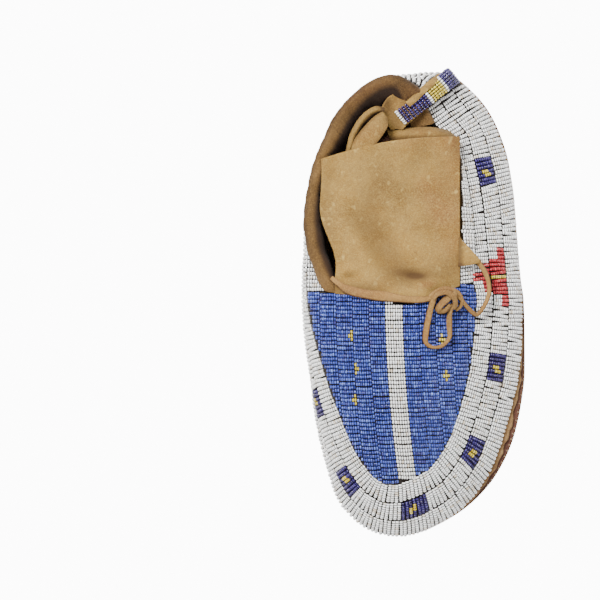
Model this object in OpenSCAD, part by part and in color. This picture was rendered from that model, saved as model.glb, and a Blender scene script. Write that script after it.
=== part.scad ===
/* [Size] */
// Length of the moccasin over the beadwork
shoe_l = 240; // [200:1:290]
// Height of the dome of the vamp above the ground at the throat
vamp_h = 43.9; // [40:0.1:50]

/* [Hide and beads] */
// Thickness of the rawhide sole
sole_t = 4; // [3:0.5:5]
// Thickness of the welt strip between sole and upper
welt_t = 2; // [1:0.5:3]
// Thickness of the buckskin
hide_t = 1.2; // [0.8:0.1:1.6]
// Thickness of one layer of beads on the hide
bead_t = 1.6; // [1.2:0.1:2]
// Gap between a lane of beads and the hide it lies on
lane_gap = 0.3; // [0.25:0.05:0.4]

/* [Tongue, cuffs and thong] */
// Thickness of the tongue and of the ankle cuffs
flap_t = 1.4; // [1:0.1:1.8]
// Width of the lacing thong
thong_w = 2.8; // [2:0.1:3.5]
// Thickness of the lacing thong
thong_t = 1.5; // [1:0.1:2]

/* [Hidden] */

k = shoe_l / 240;
welt_z = sole_t + welt_t;
// Steps between two pattern rows
fine = 2;
// Rows up the wall and rows up each side of the vamp
wall_rows = 6;
vamp_rows = 5;

// Pattern rows across the wall, from the heel seam round the outer side, the toe and the
// inner side: x and y on the welt, x and y at the top, height of the top where it isn't on
// the vamp's dome, bulge of the wall, and how far the sole stands out past the welt line.
PATTERN = [
    [20.5, 117.6, 3.5, 105.5, 28, 3, 0.8],
    [29, 110.3, 6.5, 96.5, 25, 3, 1.2],
    [35.5, 102.5, 13.5, 89, 23, 3, 1.6],
    [41, 93, 18.5, 84, 22, 3, 1.6],
    [46.4, 79, 20.8, 73.3, 21.5, 3, 1.4],
    [49.2, 67.2, 23.6, 60.5, 21.5, 3, 1],
    [51, 56.2, 25.4, 49.2, 21.5, 3, 0.8],
    [53, 30.3, 27.7, 29.2, 21.5, 3, 0.8],
    [54.2, 13, 29.5, 11.5, 0, 3, 1.2],
    [55, 3, 31, 4.1, 0, 3, 1.8],
    [54.4, -27.2, 28.7, -23.1, 0, 3, 3],
    [52.6, -40, 27.2, -34.1, 0, 3, 4.4],
    [47.2, -61.5, 22.3, -53.3, 0, 3, 6],
    [43.1, -75.1, 19.2, -62, 0, 3, 5.4],
    [36.4, -89.5, 16.5, -69.5, 0, 3, 3.8],
    [24.6, -104.1, 8.6, -81.5, 0, 3, 1.6],
    [8.2, -114.6, 2.1, -86.2, 0, 3, 0.6],
    [-4.1, -118.4, -5.9, -90, 0, 3, 0.2],
    [-14, -118.2, -11.5, -91.4, 0, 3, 0],
    [-25.6, -114, -17.4, -89.7, 0, 3, 0],
    [-37.5, -102, -22.6, -85.1, 0, 4, 0],
    [-42, -90, -28.2, -77.4, 0, 5, 0],
    [-44.2, -81, -31.5, -71, 0, 6, 0],
    [-46.5, -71.5, -34.5, -63.5, 0, 7, 0],
    [-48, -61, -38.5, -53.3, 0, 8, 0],
    [-49.2, -48, -42.8, -42, 0, 8, 0],
    [-49.4, -21, -50, -17.4, 0, 9, 0],
    [-48.7, -4, -53.2, -3, 0, 9, 0],
    [-48, 7.2, -54.2, 7.2, 0, 9, 0],
    [-46.8, 28, -53.6, 28, 34.5, 9, 0],
    [-45.6, 51, -52.2, 52, 34.5, 9, 0],
    [-42, 75.5, -47, 77, 34.5, 6, 0],
    [-34, 97, -36, 100, 34.5, 3, 0],
    [-22.5, 108.5, -23, 111.5, 34.5, 2, 0],
    [-9.5, 115, -10, 115.5, 34.5, 2, 0],
    [2, 118, -1.5, 113.5, 34, 2.5, 0.2],
    [11.5, 119, 2, 110.5, 32, 3, 0.4]];
// Rows at the outer throat corner, the toe and the inner throat corner
outer_corner = 8;
toe_row = 18;
inner_corner = 28;
n_rows = len(PATTERN);

// Line down the middle of the vamp, from the throat to where the toe rows fan out
spine_throat = [-4, 0.5];
spine_toe = [-9.5, -72];

function mix(a, b, t) = a * (1 - t) + b * t;
function clip(x, lo, hi) = min(max(x, lo), hi);
function soft(t) = let (c = clip(t, 0, 1)) c * c * (3 - 2 * c);
function unit(v) = v / norm(v);
function wrap(i, n) = ((i % n) + n) % n;

// Height of the vamp's dome
function dome(x, y) = k * (vamp_h - 0.00285 * pow(y / k, 2)
    - (0.0082 - 0.000035 * y / k) * pow(x / k + 20 + 0.07 * y / k, 2));
function dome_normal(x, y) = let (e = 0.1)
    unit([(dome(x - e, y) - dome(x + e, y)) / (2 * e), (dome(x, y - e) - dome(x, y + e)) / (2 * e), 1]);

// A closed smooth curve through rows of values, spaced by how far apart the rows are
row_at = [for (r = PATTERN) [r[0] + r[2], r[1] + r[3]] / 2];
function gap_after(i) = norm(row_at[wrap(i + 1, n_rows)] - row_at[wrap(i, n_rows)]);
function slope_at(i) = (PATTERN[wrap(i + 1, n_rows)] - PATTERN[wrap(i - 1, n_rows)])
    / (gap_after(i - 1) + gap_after(i));
function row(u) = let (
    i = floor(u),
    t = u - i,
    h = gap_after(i),
    a = PATTERN[wrap(i, n_rows)],
    b = PATTERN[wrap(i + 1, n_rows)]
) a * (2 * pow(t, 3) - 3 * t * t + 1) + b * (3 * t * t - 2 * pow(t, 3))
    + slope_at(i) * h * (pow(t, 3) - 2 * t * t + t) + slope_at(i + 1) * h * (pow(t, 3) - t * t);

function on_vamp(u) = let (i = wrap(u, n_rows)) i >= outer_corner && i <= inner_corner;
function foot_of(u) = let (r = row(u)) [r[0] * k, r[1] * k, welt_z];
// The top of the wall meets the vamp's dome in front and its own height behind
function top_of(u) = let (
    r = row(u),
    i = wrap(u, n_rows),
    past = i < outer_corner ? outer_corner - i : i - inner_corner,
    behind = clip(past, 0, 1)
) [r[2] * k, r[3] * k, on_vamp(u) ? dome(r[2] * k, r[3] * k)
    : mix(dome(r[2] * k, r[3] * k), rear_height(u) * k, soft(behind))];
function rear_height(u) = let (
    i = floor(wrap(u, n_rows)),
    t = wrap(u, n_rows) - i,
    a = PATTERN[i][4],
    b = PATTERN[wrap(i + 1, n_rows)][4]
) mix(a == 0 ? b : a, b == 0 ? a : b, t);

// A point of the wall: u goes round, v goes from the welt to the top
function wall(u, v) = let (
    f = foot_of(u),
    t = top_of(u),
    along = foot_of(u + 0.25) - foot_of(u - 0.25),
    out = unit(cross(t - f, along)),
    m = (f + t) / 2 + out * row(u)[5] * k
) f * pow(1 - v, 2) + m * 2 * v * (1 - v) + t * v * v;
function wall_normal(u, v) = let (e = 0.04, lo = max(v - e, 0), hi = min(v + e, 1))
    unit(cross(wall(u, hi) - wall(u, lo), wall(u + 0.15, v) - wall(u - 0.15, v)));
function outward(u) = let (d = foot_of(u + 0.2) - foot_of(u - 0.2)) unit([-d[1], d[0], 0]);

// Where each cross line of the vamp meets its spine, 0 at the throat and 1 at the toe
corner_y = PATTERN[outer_corner][3];
function spine(u) = let (
    w = u <= toe_row ? u : outer_corner + inner_corner - u,
    g = (corner_y - row(w)[3]) / (corner_y - PATTERN[toe_row][3])
) mix(spine_throat, spine_toe, g) * k;

// Outline of the sole, and the welt line moved in or out
function sole_line(more) = [for (i = [0:n_rows * fine - 1]) let (
    u = i / fine,
    p = foot_of(u) + outward(u) * (max(row(u)[6], 0) + more) * k
) [p[0], p[1]]];
function welt_line(more) = [for (i = [0:n_rows * fine - 1]) let (
    u = i / fine,
    p = foot_of(u) + outward(u) * (max(row(u)[6] * welt_share, 0.05) + more) * k
) [p[0], p[1]]];
function foot_line(more) = [for (i = [0:n_rows * fine - 1]) let (
    u = i / fine,
    p = foot_of(u) + outward(u) * more * k
) [p[0], p[1]]];

// A closed solid between two grids of points with the same rows and columns
module between(low, high) {
    nr = len(low);
    nc = len(low[0]);
    half = nr * nc;
    points = concat([for (r = low) for (p = r) p], [for (r = high) for (p = r) p]);
    function at(r, c) = r * nc + c;
    lower = [for (r = [0:nr - 2]) for (c = [0:nc - 2]) for (q = [
        [at(r, c), at(r + 1, c + 1), at(r, c + 1)],
        [at(r, c), at(r + 1, c), at(r + 1, c + 1)]]) q];
    higher = [for (q = lower) [q[2] + half, q[1] + half, q[0] + half]];
    rim = concat(
        [for (c = [0:nc - 2]) [at(0, c), at(0, c + 1)]],
        [for (r = [0:nr - 2]) [at(r, nc - 1), at(r + 1, nc - 1)]],
        [for (c = [nc - 2:-1:0]) [at(nr - 1, c + 1), at(nr - 1, c)]],
        [for (r = [nr - 2:-1:0]) [at(r + 1, 0), at(r, 0)]]);
    sides = [for (e = rim) for (q = [
        [e[0], e[1], e[0] + half],
        [e[1], e[1] + half, e[0] + half]]) q];
    polyhedron(points = points, faces = concat(lower, higher, sides));
}

// A skin of beads on the wall, from row u0 to u1 and from height v0 to v1
module wall_skin(u0, u1, v0, v1, from = lane_gap, to = lane_gap + bead_t) {
    nu = max(1, ceil((u1 - u0) * fine));
    nv = v1 - v0 > 0.2 ? 2 : 1;
    grid = [for (i = [0:nu]) [for (j = [0:nv]) [mix(u0, u1, i / nu), mix(v0, v1, j / nv)]]];
    between(
        [for (r = grid) [for (g = r) wall(g[0], g[1]) + wall_normal(g[0], g[1]) * to]],
        [for (r = grid) [for (g = r) wall(g[0], g[1]) + wall_normal(g[0], g[1]) * from]]);
}

// Heights of the three lanes on the wall, from the welt up
OUTER = [0.035, 0.335];
MIDDLE = [0.345, 0.66];
INNER = [0.67, 0.975];
// A little of the pattern is left open at each end of a run
slit = 0.02;
heel_start = 0.45;
heel_end = n_rows - 0.4;

// Navy blocks of the middle lane, each from one pattern row to the next
BLOCKS = [[4, 5], [10, 11], [13, 14], [16, 17], [20, 21], [24, 25]];
// Half diamonds: the row where each one is centred, and how far its steps are stretched
// towards the toe and towards the heel
MOTIFS = [[7.85, 1, 1], [30.2, 0.46, 0.7]];
// The steps of a half diamond: lane half by lane half from the middle lane up, as its
// height range and how far it reaches towards the toe and towards the heel
STEPS = [
    [[MIDDLE[0], 0.5], 1.3, 0.85],
    [[0.5, MIDDLE[1]], 0.95, 0.55],
    [[INNER[0], 0.82], 0.65, 0.38],
    [[0.82, INNER[1]], 0.1, 0.1]];
bar_half = 0.1;
step_gap = 0.01;
// The lowest and the highest row of step i of motif m, and of its bar
function step(m, i) = let (
    way = m[0] < toe_row ? 1 : -1,
    ends = [m[0] + way * STEPS[i][1] * m[1], m[0] - way * STEPS[i][2] * m[2]]
) [min(ends), max(ends)];
function bar_of(m) = [m[0] - bar_half * m[2], m[0] + bar_half * m[2]];

// White beads at both sides of step i of motif m, as far as the wider step i - 1 reaches
module beside_step(m, i) {
    wide = step(m, i - 1);
    narrow = step(m, i);
    for (e = [[wide[0], narrow[0]], [narrow[1], wide[1]]])
        wall_skin(e[0] + slit, e[1] - slit, STEPS[i][0][0] + step_gap, STEPS[i][0][1]);
}

module lane_outer() {
    color("whitesmoke")
    wall_skin(heel_start, heel_end, OUTER[0], OUTER[1]);
}

// White runs of the middle lane between its blocks and motifs
module lane_middle() {
    outer = step(MOTIFS[0], 0);
    inner = step(MOTIFS[1], 0);
    stops = [
        [heel_start, 4], [5, outer[0]], [outer[1], 10], [11, 13], [14, 16],
        [17, 20], [21, 24], [25, inner[0]], [inner[1], heel_end]];
    color("whitesmoke")
    for (s = stops)
        wall_skin(s[0] + slit, s[1] - slit, MIDDLE[0], MIDDLE[1]);
    color("whitesmoke")
    for (m = MOTIFS)
        beside_step(m, 1);
}

module lane_inner() {
    outer = step(MOTIFS[0], 2);
    inner = step(MOTIFS[1], 2);
    color("whitesmoke")
    for (s = [[heel_start, outer[0]], [outer[1], inner[0]], [inner[1], heel_end]])
        wall_skin(s[0] + slit, s[1] - slit, INNER[0], INNER[1]);
    color("whitesmoke")
    for (m = MOTIFS)
        beside_step(m, 3);
}

// Each block is a frame of navy beads round a bar of yellow ones
module block_part(b, u_from, u_to, v_from, v_to) {
    h = MIDDLE[1] - MIDDLE[0];
    wall_skin(
        mix(b[0], b[1], u_from) + slit / 2, mix(b[0], b[1], u_to) - slit / 2,
        MIDDLE[0] + h * v_from + 0.003, MIDDLE[0] + h * v_to - 0.003);
}

module navy_blocks() {
    color("midnightblue")
    for (b = BLOCKS) {
        block_part(b, 0, 0.28, 0, 1);
        block_part(b, 0.72, 1, 0, 1);
        block_part(b, 0.28, 0.72, 0, 0.4);
        block_part(b, 0.28, 0.72, 0.66, 1);
    }
}

module block_bars() {
    color("gold")
    for (b = BLOCKS)
        block_part(b, 0.28, 0.72, 0.4, 0.66);
}

// The red steps leave room for the yellow bar through the two lower ones
module side_motifs() {
    color("firebrick")
    for (m = MOTIFS) {
        for (i = [0:3]) {
            ends = step(m, i);
            low = STEPS[i][0][0] + (i % 2) * step_gap;
            high = STEPS[i][0][1];
            if (i < 2) {
                wall_skin(ends[0] + slit, bar_of(m)[0] - slit, low, high);
                wall_skin(bar_of(m)[1] + slit, ends[1] - slit, low, high);
            } else {
                wall_skin(ends[0] + slit, ends[1] - slit, low, high);
            }
        }
    }
}

module side_motif_bars() {
    color("gold")
    for (m = MOTIFS)
        for (i = [0:1])
            wall_skin(bar_of(m)[0], bar_of(m)[1], STEPS[i][0][0] + i * step_gap, STEPS[i][0][1]);
}

// Middle line of the white stripe down the vamp
function stripe_x(y) = -11.3 * k + 7.5 * k * pow(clip((2 * k - y) / (92 * k), 0, 1), 1.8);
stripe_half = 4.2;
stripe_end = -87.8;

// A skin of beads on the vamp, given a grid of places in plan
function off_dome(p, d) = [p[0], p[1], dome(p[0], p[1])] + dome_normal(p[0], p[1]) * d;
module vamp_skin(grid) {
    between(
        [for (r = grid) [for (p = r) off_dome(p, lane_gap + bead_t)]],
        [for (r = grid) [for (p = r) off_dome(p, lane_gap)]]);
}

// One side of the blue field, from the wall's top row to the edge of the stripe
function field_grid(side, last) = [for (i = [0:last * fine]) let (
    u = side > 0 ? outer_corner + i / fine : inner_corner - i / fine,
    r = row(u),
    g = (corner_y - row(outer_corner + i / fine)[3]) / (corner_y - PATTERN[toe_row][3]),
    y = mix(1, -88.5, g) * k,
    stripe = [stripe_x(y) + side * (stripe_half + 0.3) * k, y],
    edge = [r[2], r[3]] * k,
    inset = unit(stripe - edge) * 0.7
) [for (j = [0:4]) mix(edge + inset, stripe, j / 4) + (i == 0 ? [0, -0.4] : [0, 0])]];

module vamp_field_inner_side() {
    color("royalblue")
    vamp_skin([for (r = field_grid(-1, 9)) [for (j = [4:-1:0]) r[j]]]);
}

module vamp_field_outer_side() {
    color("royalblue")
    vamp_skin(field_grid(1, 8));
}

module vamp_stripe() {
    steps = 14;
    color("whitesmoke")
    vamp_skin([for (i = [0:steps]) let (y = mix(0.6, stripe_end, i / steps) * k)
        [for (j = [1:-1:-1]) [stripe_x(y) + j * stripe_half * k, y]]]);
}

module sole() {
    color("saddlebrown")
    linear_extrude(height = sole_t)
    polygon(sole_line(0));
}

// Sinew stitches over the edge of the sole, where it stands out past the welt
welt_share = 0.72;
stitch_w = 0.7;
stitch_t = 0.5;
module sole_stitches() {
    first = 9.6;
    last = 14.3;
    count = 24;
    color("bisque")
    for (i = [0:count - 1]) {
        u = mix(first, last, i / (count - 1));
        d = outward(u);
        from = row(u)[6] * welt_share * k + 0.15;
        p = foot_of(u) + d * from;
        translate([p[0], p[1], sole_t])
        rotate([0, 0, atan2(d[1], d[0])])
        translate([0, -stitch_w / 2, 0.05])
        cube([row(u)[6] * k - from, stitch_w, stitch_t]);
    }
}

module welt() {
    color("peru")
    translate([0, 0, sole_t])
    linear_extrude(height = welt_t)
    difference() {
        polygon(welt_line(0));
        polygon(foot_line(-3));
    }
}

// The whole buckskin upper: the wall all round and the vamp closed over its front
module upper() {
    columns = n_rows * fine;
    a = outer_corner * fine;
    b = inner_corner * fine;
    c = toe_row * fine;
    rows_all = wall_rows + vamp_rows;
    per = rows_all + 1;
    function crease(u) = unit(wall_normal(u, 1) + dome_normal(top_of(u)[0], top_of(u)[1]));
    function vamp_place(u, t) = let (
        edge = [top_of(u)[0], top_of(u)[1]],
        p = mix(edge, spine(u), t)
    ) [p[0], p[1], dome(p[0], p[1])];
    function outer_point(i, j) = let (u = i / fine) j <= wall_rows ? wall(u, j / wall_rows)
        : i >= a && i <= b ? vamp_place(u, (j - wall_rows) / vamp_rows) : wall(u, 1);
    function normal_at(i, j) = let (u = i / fine) j < wall_rows ? wall_normal(u, j / wall_rows)
        : i < a || i > b ? wall_normal(u, 1)
        : j == wall_rows ? crease(u)
        : let (p = vamp_place(u, (j - wall_rows) / vamp_rows)) dome_normal(p[0], p[1]);
    function inner_point(i, j) = let (p = outer_point(i, j) - normal_at(i, j) * hide_t)
        j == 0 ? [p[0], p[1], welt_z] : p;
    function id(i, j) = let (w = i % columns)
        j == rows_all && w > c && w <= b ? (a + b - w) * per + j : w * per + j;
    half = columns * per;
    points = concat(
        [for (i = [0:columns - 1]) for (j = [0:rows_all]) outer_point(i, j)],
        [for (i = [0:columns - 1]) for (j = [0:rows_all]) inner_point(i, j)]);
    cells = concat(
        [for (i = [0:columns - 1]) for (j = [0:wall_rows - 1]) [i, j]],
        [for (i = [a:b - 1]) for (j = [wall_rows:rows_all - 1]) [i, j]]);
    outside = [for (g = cells) for (q = [
        [id(g[0], g[1]), id(g[0] + 1, g[1]), id(g[0] + 1, g[1] + 1)],
        [id(g[0], g[1]), id(g[0] + 1, g[1] + 1), id(g[0], g[1] + 1)]]) q];
    inside = [for (q = outside) [q[2] + half, q[1] + half, q[0] + half]];
    edges = concat(
        [for (i = [0:columns - 1]) [id(i + 1, 0), id(i, 0)]],
        [for (i = [0:columns - 1]) if (i < a || i >= b) [id(i, wall_rows), id(i + 1, wall_rows)]],
        [for (j = [wall_rows:rows_all - 1]) [id(a, j), id(a, j + 1)]],
        [for (j = [wall_rows:rows_all - 1]) [id(b, j + 1), id(b, j)]]);
    rim = [for (e = edges) for (q = [
        [e[0], e[1], e[1] + half],
        [e[0], e[1] + half, e[0] + half]]) q];
    color("burlywood")
    polyhedron(points = points, faces = concat(outside, inside, rim));
}

// A strip that climbs the heel: given its two edges as rows and how far up it goes
module heel_strip(u0, u1, from, to) {
    wall_skin(u0, u1, 0.035, 0.975, from, to);
}

// The tab that the heel lane runs up, laid over into the opening
TAB = [[5.6, 103, 29.4], [-0.5, 98.5, 32.6], [-7, 93.5, 33.6]];
tab_half = 5;
tab_side = unit([0.62, -0.78, 0]);
function tab_grid(half, rise) = [for (p = TAB) [for (j = [1:-1:-1])
    (p + tab_side * half * j) * k + [0, 0, rise]]];

module heel_lane() {
    rise = flap_t + lane_gap;
    color("midnightblue")
    heel_strip(-0.02, 0.42, lane_gap + 0.3, lane_gap + 0.3 + bead_t);
    color("midnightblue")
    between(tab_grid(tab_half - 0.5, rise + bead_t), tab_grid(tab_half - 0.5, rise));
}

module heel_seam_welt() {
    color("tan")
    heel_strip(-0.37, -0.06, lane_gap + 0.3, lane_gap + 0.3 + flap_t);
}

module heel_tab() {
    color("tan")
    between(tab_grid(tab_half, flap_t), tab_grid(tab_half, 0));
}

// A flap that rises from the wall's top: rows with the place of its free edge, and how
// far it bellies outwards
module flap(rows_list, u0, u1, belly) {
    steps = max(2, ceil((u1 - u0) * 3));
    across = 4;
    last = len(rows_list) - 1;
    first_u = rows_list[0][0];
    function free(u) = let (
        f = clip((u - first_u) / (rows_list[last][0] - first_u) * last, 0, last - 0.001),
        i = floor(f),
        t = f - i
    ) mix(rows_list[i], rows_list[i + 1], soft(t) * 0.4 + t * 0.6);
    function place(u, t) = let (
        root = wall(u, 1) + wall_normal(u, 1) * -0.2 + [0, 0, 1],
        f = free(u),
        tip = [f[1], f[2], f[3]] * k,
        along = wall(u + 0.2, 1) - wall(u - 0.2, 1),
        out = unit(cross(tip - root, along)),
        m = (root + tip) / 2 + out * belly
    ) root * pow(1 - t, 2) + m * 2 * t * (1 - t) + tip * t * t;
    function facing(u, t) = unit(cross(
        place(u, min(t + 0.05, 1)) - place(u, max(t - 0.05, 0)),
        place(u + 0.1, t) - place(u - 0.1, t)));
    grid = [for (i = [0:steps]) [for (j = [0:across]) [mix(u0, u1, i / steps), j / across]]];
    between(
        [for (r = grid) [for (g = r) place(g[0], g[1]) + facing(g[0], g[1]) * flap_t / 2]],
        [for (r = grid) [for (g = r) place(g[0], g[1]) - facing(g[0], g[1]) * flap_t / 2]]);
}

// Free edges of the flaps: pattern row, x, y and height
OUTER_CUFF = [[0.9, -6, 86, 30], [2.6, 2, 78, 29], [4.3, 7, 66, 28.5], [6, 10, 47, 28], [7.7, 13, 25, 27.5]];
HEEL_CUFF = [[30.9, -43, 76, 44], [32.1, -29, 93, 50], [33.3, -19.5, 101, 50], [34.6, -14, 104, 44]];
CUFF_FLAP = [[28.15, -49, 12, 45], [29, -51.8, 29, 50], [29.9, -51.6, 47, 51], [30.75, -50.6, 66, 47]];

module cuff_outer_side() {
    color("tan")
    flap(OUTER_CUFF, 0.9, 7.7, 1);
}

module cuff_heel() {
    color("sienna")
    flap(HEEL_CUFF, 30.9, 34.6, 3);
}

module cuff_flap() {
    color("peru")
    flap(CUFF_FLAP, 28.15, 30.75, 5);
}

// The tongue as a sheet: s goes from the inner to the outer edge, t from the fold back
fold_y = 15;
tongue_sag = 3;
function tongue_left(t) = -41 - 7.5 * soft((t - 0.05) / 0.55);
function tongue_back(s) = 75 + 12 * s + 3.2 * sin(180 * s);
function tongue_z(s, t) = mix(42 + 9 * s - 19.5 * s * s, 50 + s - 22 * s * s, t)
    - tongue_sag * sin(180 * clip(t, 0, 1)) * sin(180 * s);
function tongue_place(s, t) = k * [
    mix(tongue_left(t), 22.8, s),
    mix(fold_y + 0.5, tongue_back(s), t),
    tongue_z(s, t)];

module sheet_between(place_grid) {
    between(
        [for (r = place_grid) [for (p = r) p + [0, 0, flap_t / 2]]],
        [for (r = place_grid) [for (p = r) p - [0, 0, flap_t / 2]]]);
}

module tongue() {
    along = 12;
    across = 14;
    color("tan")
    sheet_between([for (i = [0:along]) [for (j = [0:across]) tongue_place(j / across, i / along)]]);
}

// The fixed strip of the tongue from the throat's edge to the fold
module tongue_root() {
    across = 14;
    steps = 3;
    function throat(s) = let (
        x = mix(tongue_left(0), 22.8, s) * k,
        y = x < spine_throat[0] * k
            ? mix(spine_throat[1], PATTERN[inner_corner][3], (spine_throat[0] - x / k) / 50) * k
            : mix(spine_throat[1], corner_y, (x / k - spine_throat[0]) / 33.5) * k
    ) [x, y + 0.9, dome(x, y) + 1.1];
    color("tan")
    sheet_between([for (i = [0:steps]) [for (j = [0:across]) let (s = j / across)
        mix(throat(s), tongue_place(s, 0) - [0, 0.8, 0], i / steps)]]);
}

// A flat thong swept along a route; its flat side faces the given way
function spline(route, n) = [for (i = [0:len(route) - 2]) for (j = [0:n - 1]) let (
    t = j / n,
    p = route[max(i - 1, 0)],
    q = route[i],
    r = route[i + 1],
    s = route[min(i + 2, len(route) - 1)]
) (2 * q + (r - p) * t + (2 * p - 5 * q + 4 * r - s) * t * t + (3 * q - p - 3 * r + s) * pow(t, 3)) / 2];
module thong(route, n, up = [0, 0, 1]) {
    line = concat(spline(route, n), [route[len(route) - 1]]) * k;
    last = len(line) - 1;
    sides = 8;
    function ring(i) = let (
        d = unit(line[min(i + 1, last)] - line[max(i - 1, 0)]),
        across = unit(cross(d, up)),
        face = unit(cross(across, d))
    ) [for (j = [0:sides - 1]) let (w = 360 * (j + 0.5) / sides)
        line[i] + across * cos(w) * thong_w / 2 + face * sin(w) * thong_t / 2];
    points = [for (i = [0:last]) for (p = ring(i)) p];
    skin = [for (i = [0:last - 1]) for (j = [0:sides - 1]) let (
        a = i * sides + j,
        b = i * sides + (j + 1) % sides
    ) for (q = [[a, b, b + sides], [a, b + sides, a + sides]]) q];
    ends = [[for (j = [sides - 1:-1:0]) j], [for (j = [0:sides - 1]) last * sides + j]];
    color("peru")
    polyhedron(points = points, faces = concat(skin, ends));
}

// Routes of the thong, in x, y and height
RUN = [[-43, 14.4, 43.8], [-39, 11.2, 45.2], [-34.6, 8.4, 46.3], [-25, 6, 47.2], [-15, 4.8, 47],
    [-6, 3.6, 46.1], [2, 3.2, 44], [8, 3.8, 42.2]];
BOW = [[8.6, 2.8, 43.4], [7.4, -2.5, 42.8], [6.4, -9, 42.2], [6.3, -16, 41.6], [9, -19.4, 40.4],
    [13.6, -19.2, 38.4], [17.6, -17, 36.8], [19, -12.5, 36.2], [18.8, -6, 36.4], [17.8, -0.5, 37.4]];
SIDE = [[20.8, 6.4, 37], [23.2, 2, 34.6], [26.8, -1.6, 32.4], [31, -4.2, 29.6], [35.4, -3, 27.6],
    [38.6, 2, 26.6], [39.2, 9, 26.4], [37, 15.6, 26.6], [33.4, 21, 27]];
KNOT = [[10.8, 1.6, 41], [12.4, 5.4, 41.8], [15, 7.6, 41.4], [18, 6.8, 40], [19.4, 3.4, 39],
    [16.6, 0.8, 39.2], [13.4, 2, 41.4]];

module lace_run() {
    thong(RUN, 5);
}

module lace_bow() {
    thong(BOW, 5);
}

module lace_side_loop() {
    thong(SIDE, 5);
}

// The knot: a wrap round the two strands, with a tuck through it
module lace_knot() {
    thong(KNOT, 4);
}

// The tab that the thong comes out of: from the tongue's edge over the inner lane, to its tip
LACE_TAB = [
    [[23.6, 35, 29.4], [23.6, 27, 30], [23.6, 19.6, 30.6]],
    [[28.2, 30, 29], [28.4, 25, 29.4], [28.6, 20.8, 29.6]],
    [[33.2, 24.6, 28], [33.4, 23, 28.2], [33.6, 21.4, 28]]];
module lace_tab() {
    color("tan")
    between(
        [for (r = LACE_TAB) [for (p = r) p * k + [0, 0, flap_t]]],
        [for (r = LACE_TAB) [for (p = r) p * k]]);
}

sole();
sole_stitches();
welt();
upper();
lane_outer();
lane_middle();
lane_inner();
navy_blocks();
block_bars();
side_motifs();
side_motif_bars();
vamp_field_inner_side();
vamp_field_outer_side();
vamp_stripe();
heel_lane();
heel_seam_welt();
heel_tab();
cuff_outer_side();
cuff_heel();
cuff_flap();
tongue_root();
tongue();
lace_run();
lace_knot();
lace_bow();
lace_side_loop();
lace_tab();
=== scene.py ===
"""A left-foot beaded moccasin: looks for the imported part, in metres, in the part's own frame."""
import bpy
import numpy as np
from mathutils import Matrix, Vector


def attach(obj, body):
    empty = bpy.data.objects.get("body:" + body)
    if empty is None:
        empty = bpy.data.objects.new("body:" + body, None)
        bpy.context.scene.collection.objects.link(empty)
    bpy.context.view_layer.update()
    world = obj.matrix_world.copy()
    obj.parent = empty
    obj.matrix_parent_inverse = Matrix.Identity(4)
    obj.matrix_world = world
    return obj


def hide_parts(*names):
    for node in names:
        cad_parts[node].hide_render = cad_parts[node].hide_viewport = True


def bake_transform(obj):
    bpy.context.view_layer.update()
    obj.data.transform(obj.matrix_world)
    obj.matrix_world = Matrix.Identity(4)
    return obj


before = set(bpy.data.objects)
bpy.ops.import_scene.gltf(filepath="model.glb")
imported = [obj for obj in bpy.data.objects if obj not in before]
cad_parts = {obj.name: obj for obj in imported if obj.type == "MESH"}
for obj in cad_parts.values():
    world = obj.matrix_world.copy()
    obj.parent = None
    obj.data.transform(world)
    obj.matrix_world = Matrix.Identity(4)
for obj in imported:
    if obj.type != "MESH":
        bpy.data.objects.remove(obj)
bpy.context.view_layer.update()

MM = 0.001
rng = np.random.default_rng(7)

# -------- camera, straight above
camera = bpy.data.objects.new("camera", bpy.data.cameras.new("camera"))
bpy.context.scene.collection.objects.link(camera)
VIEW_WIDE = 0.3077
VIEW_FROM = 3.0
camera.data.sensor_width = 36
camera.data.lens = 36 * VIEW_FROM / VIEW_WIDE
camera.location = (-0.059, 0.0031, VIEW_FROM + 0.03)
bpy.context.scene.camera = camera

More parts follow.
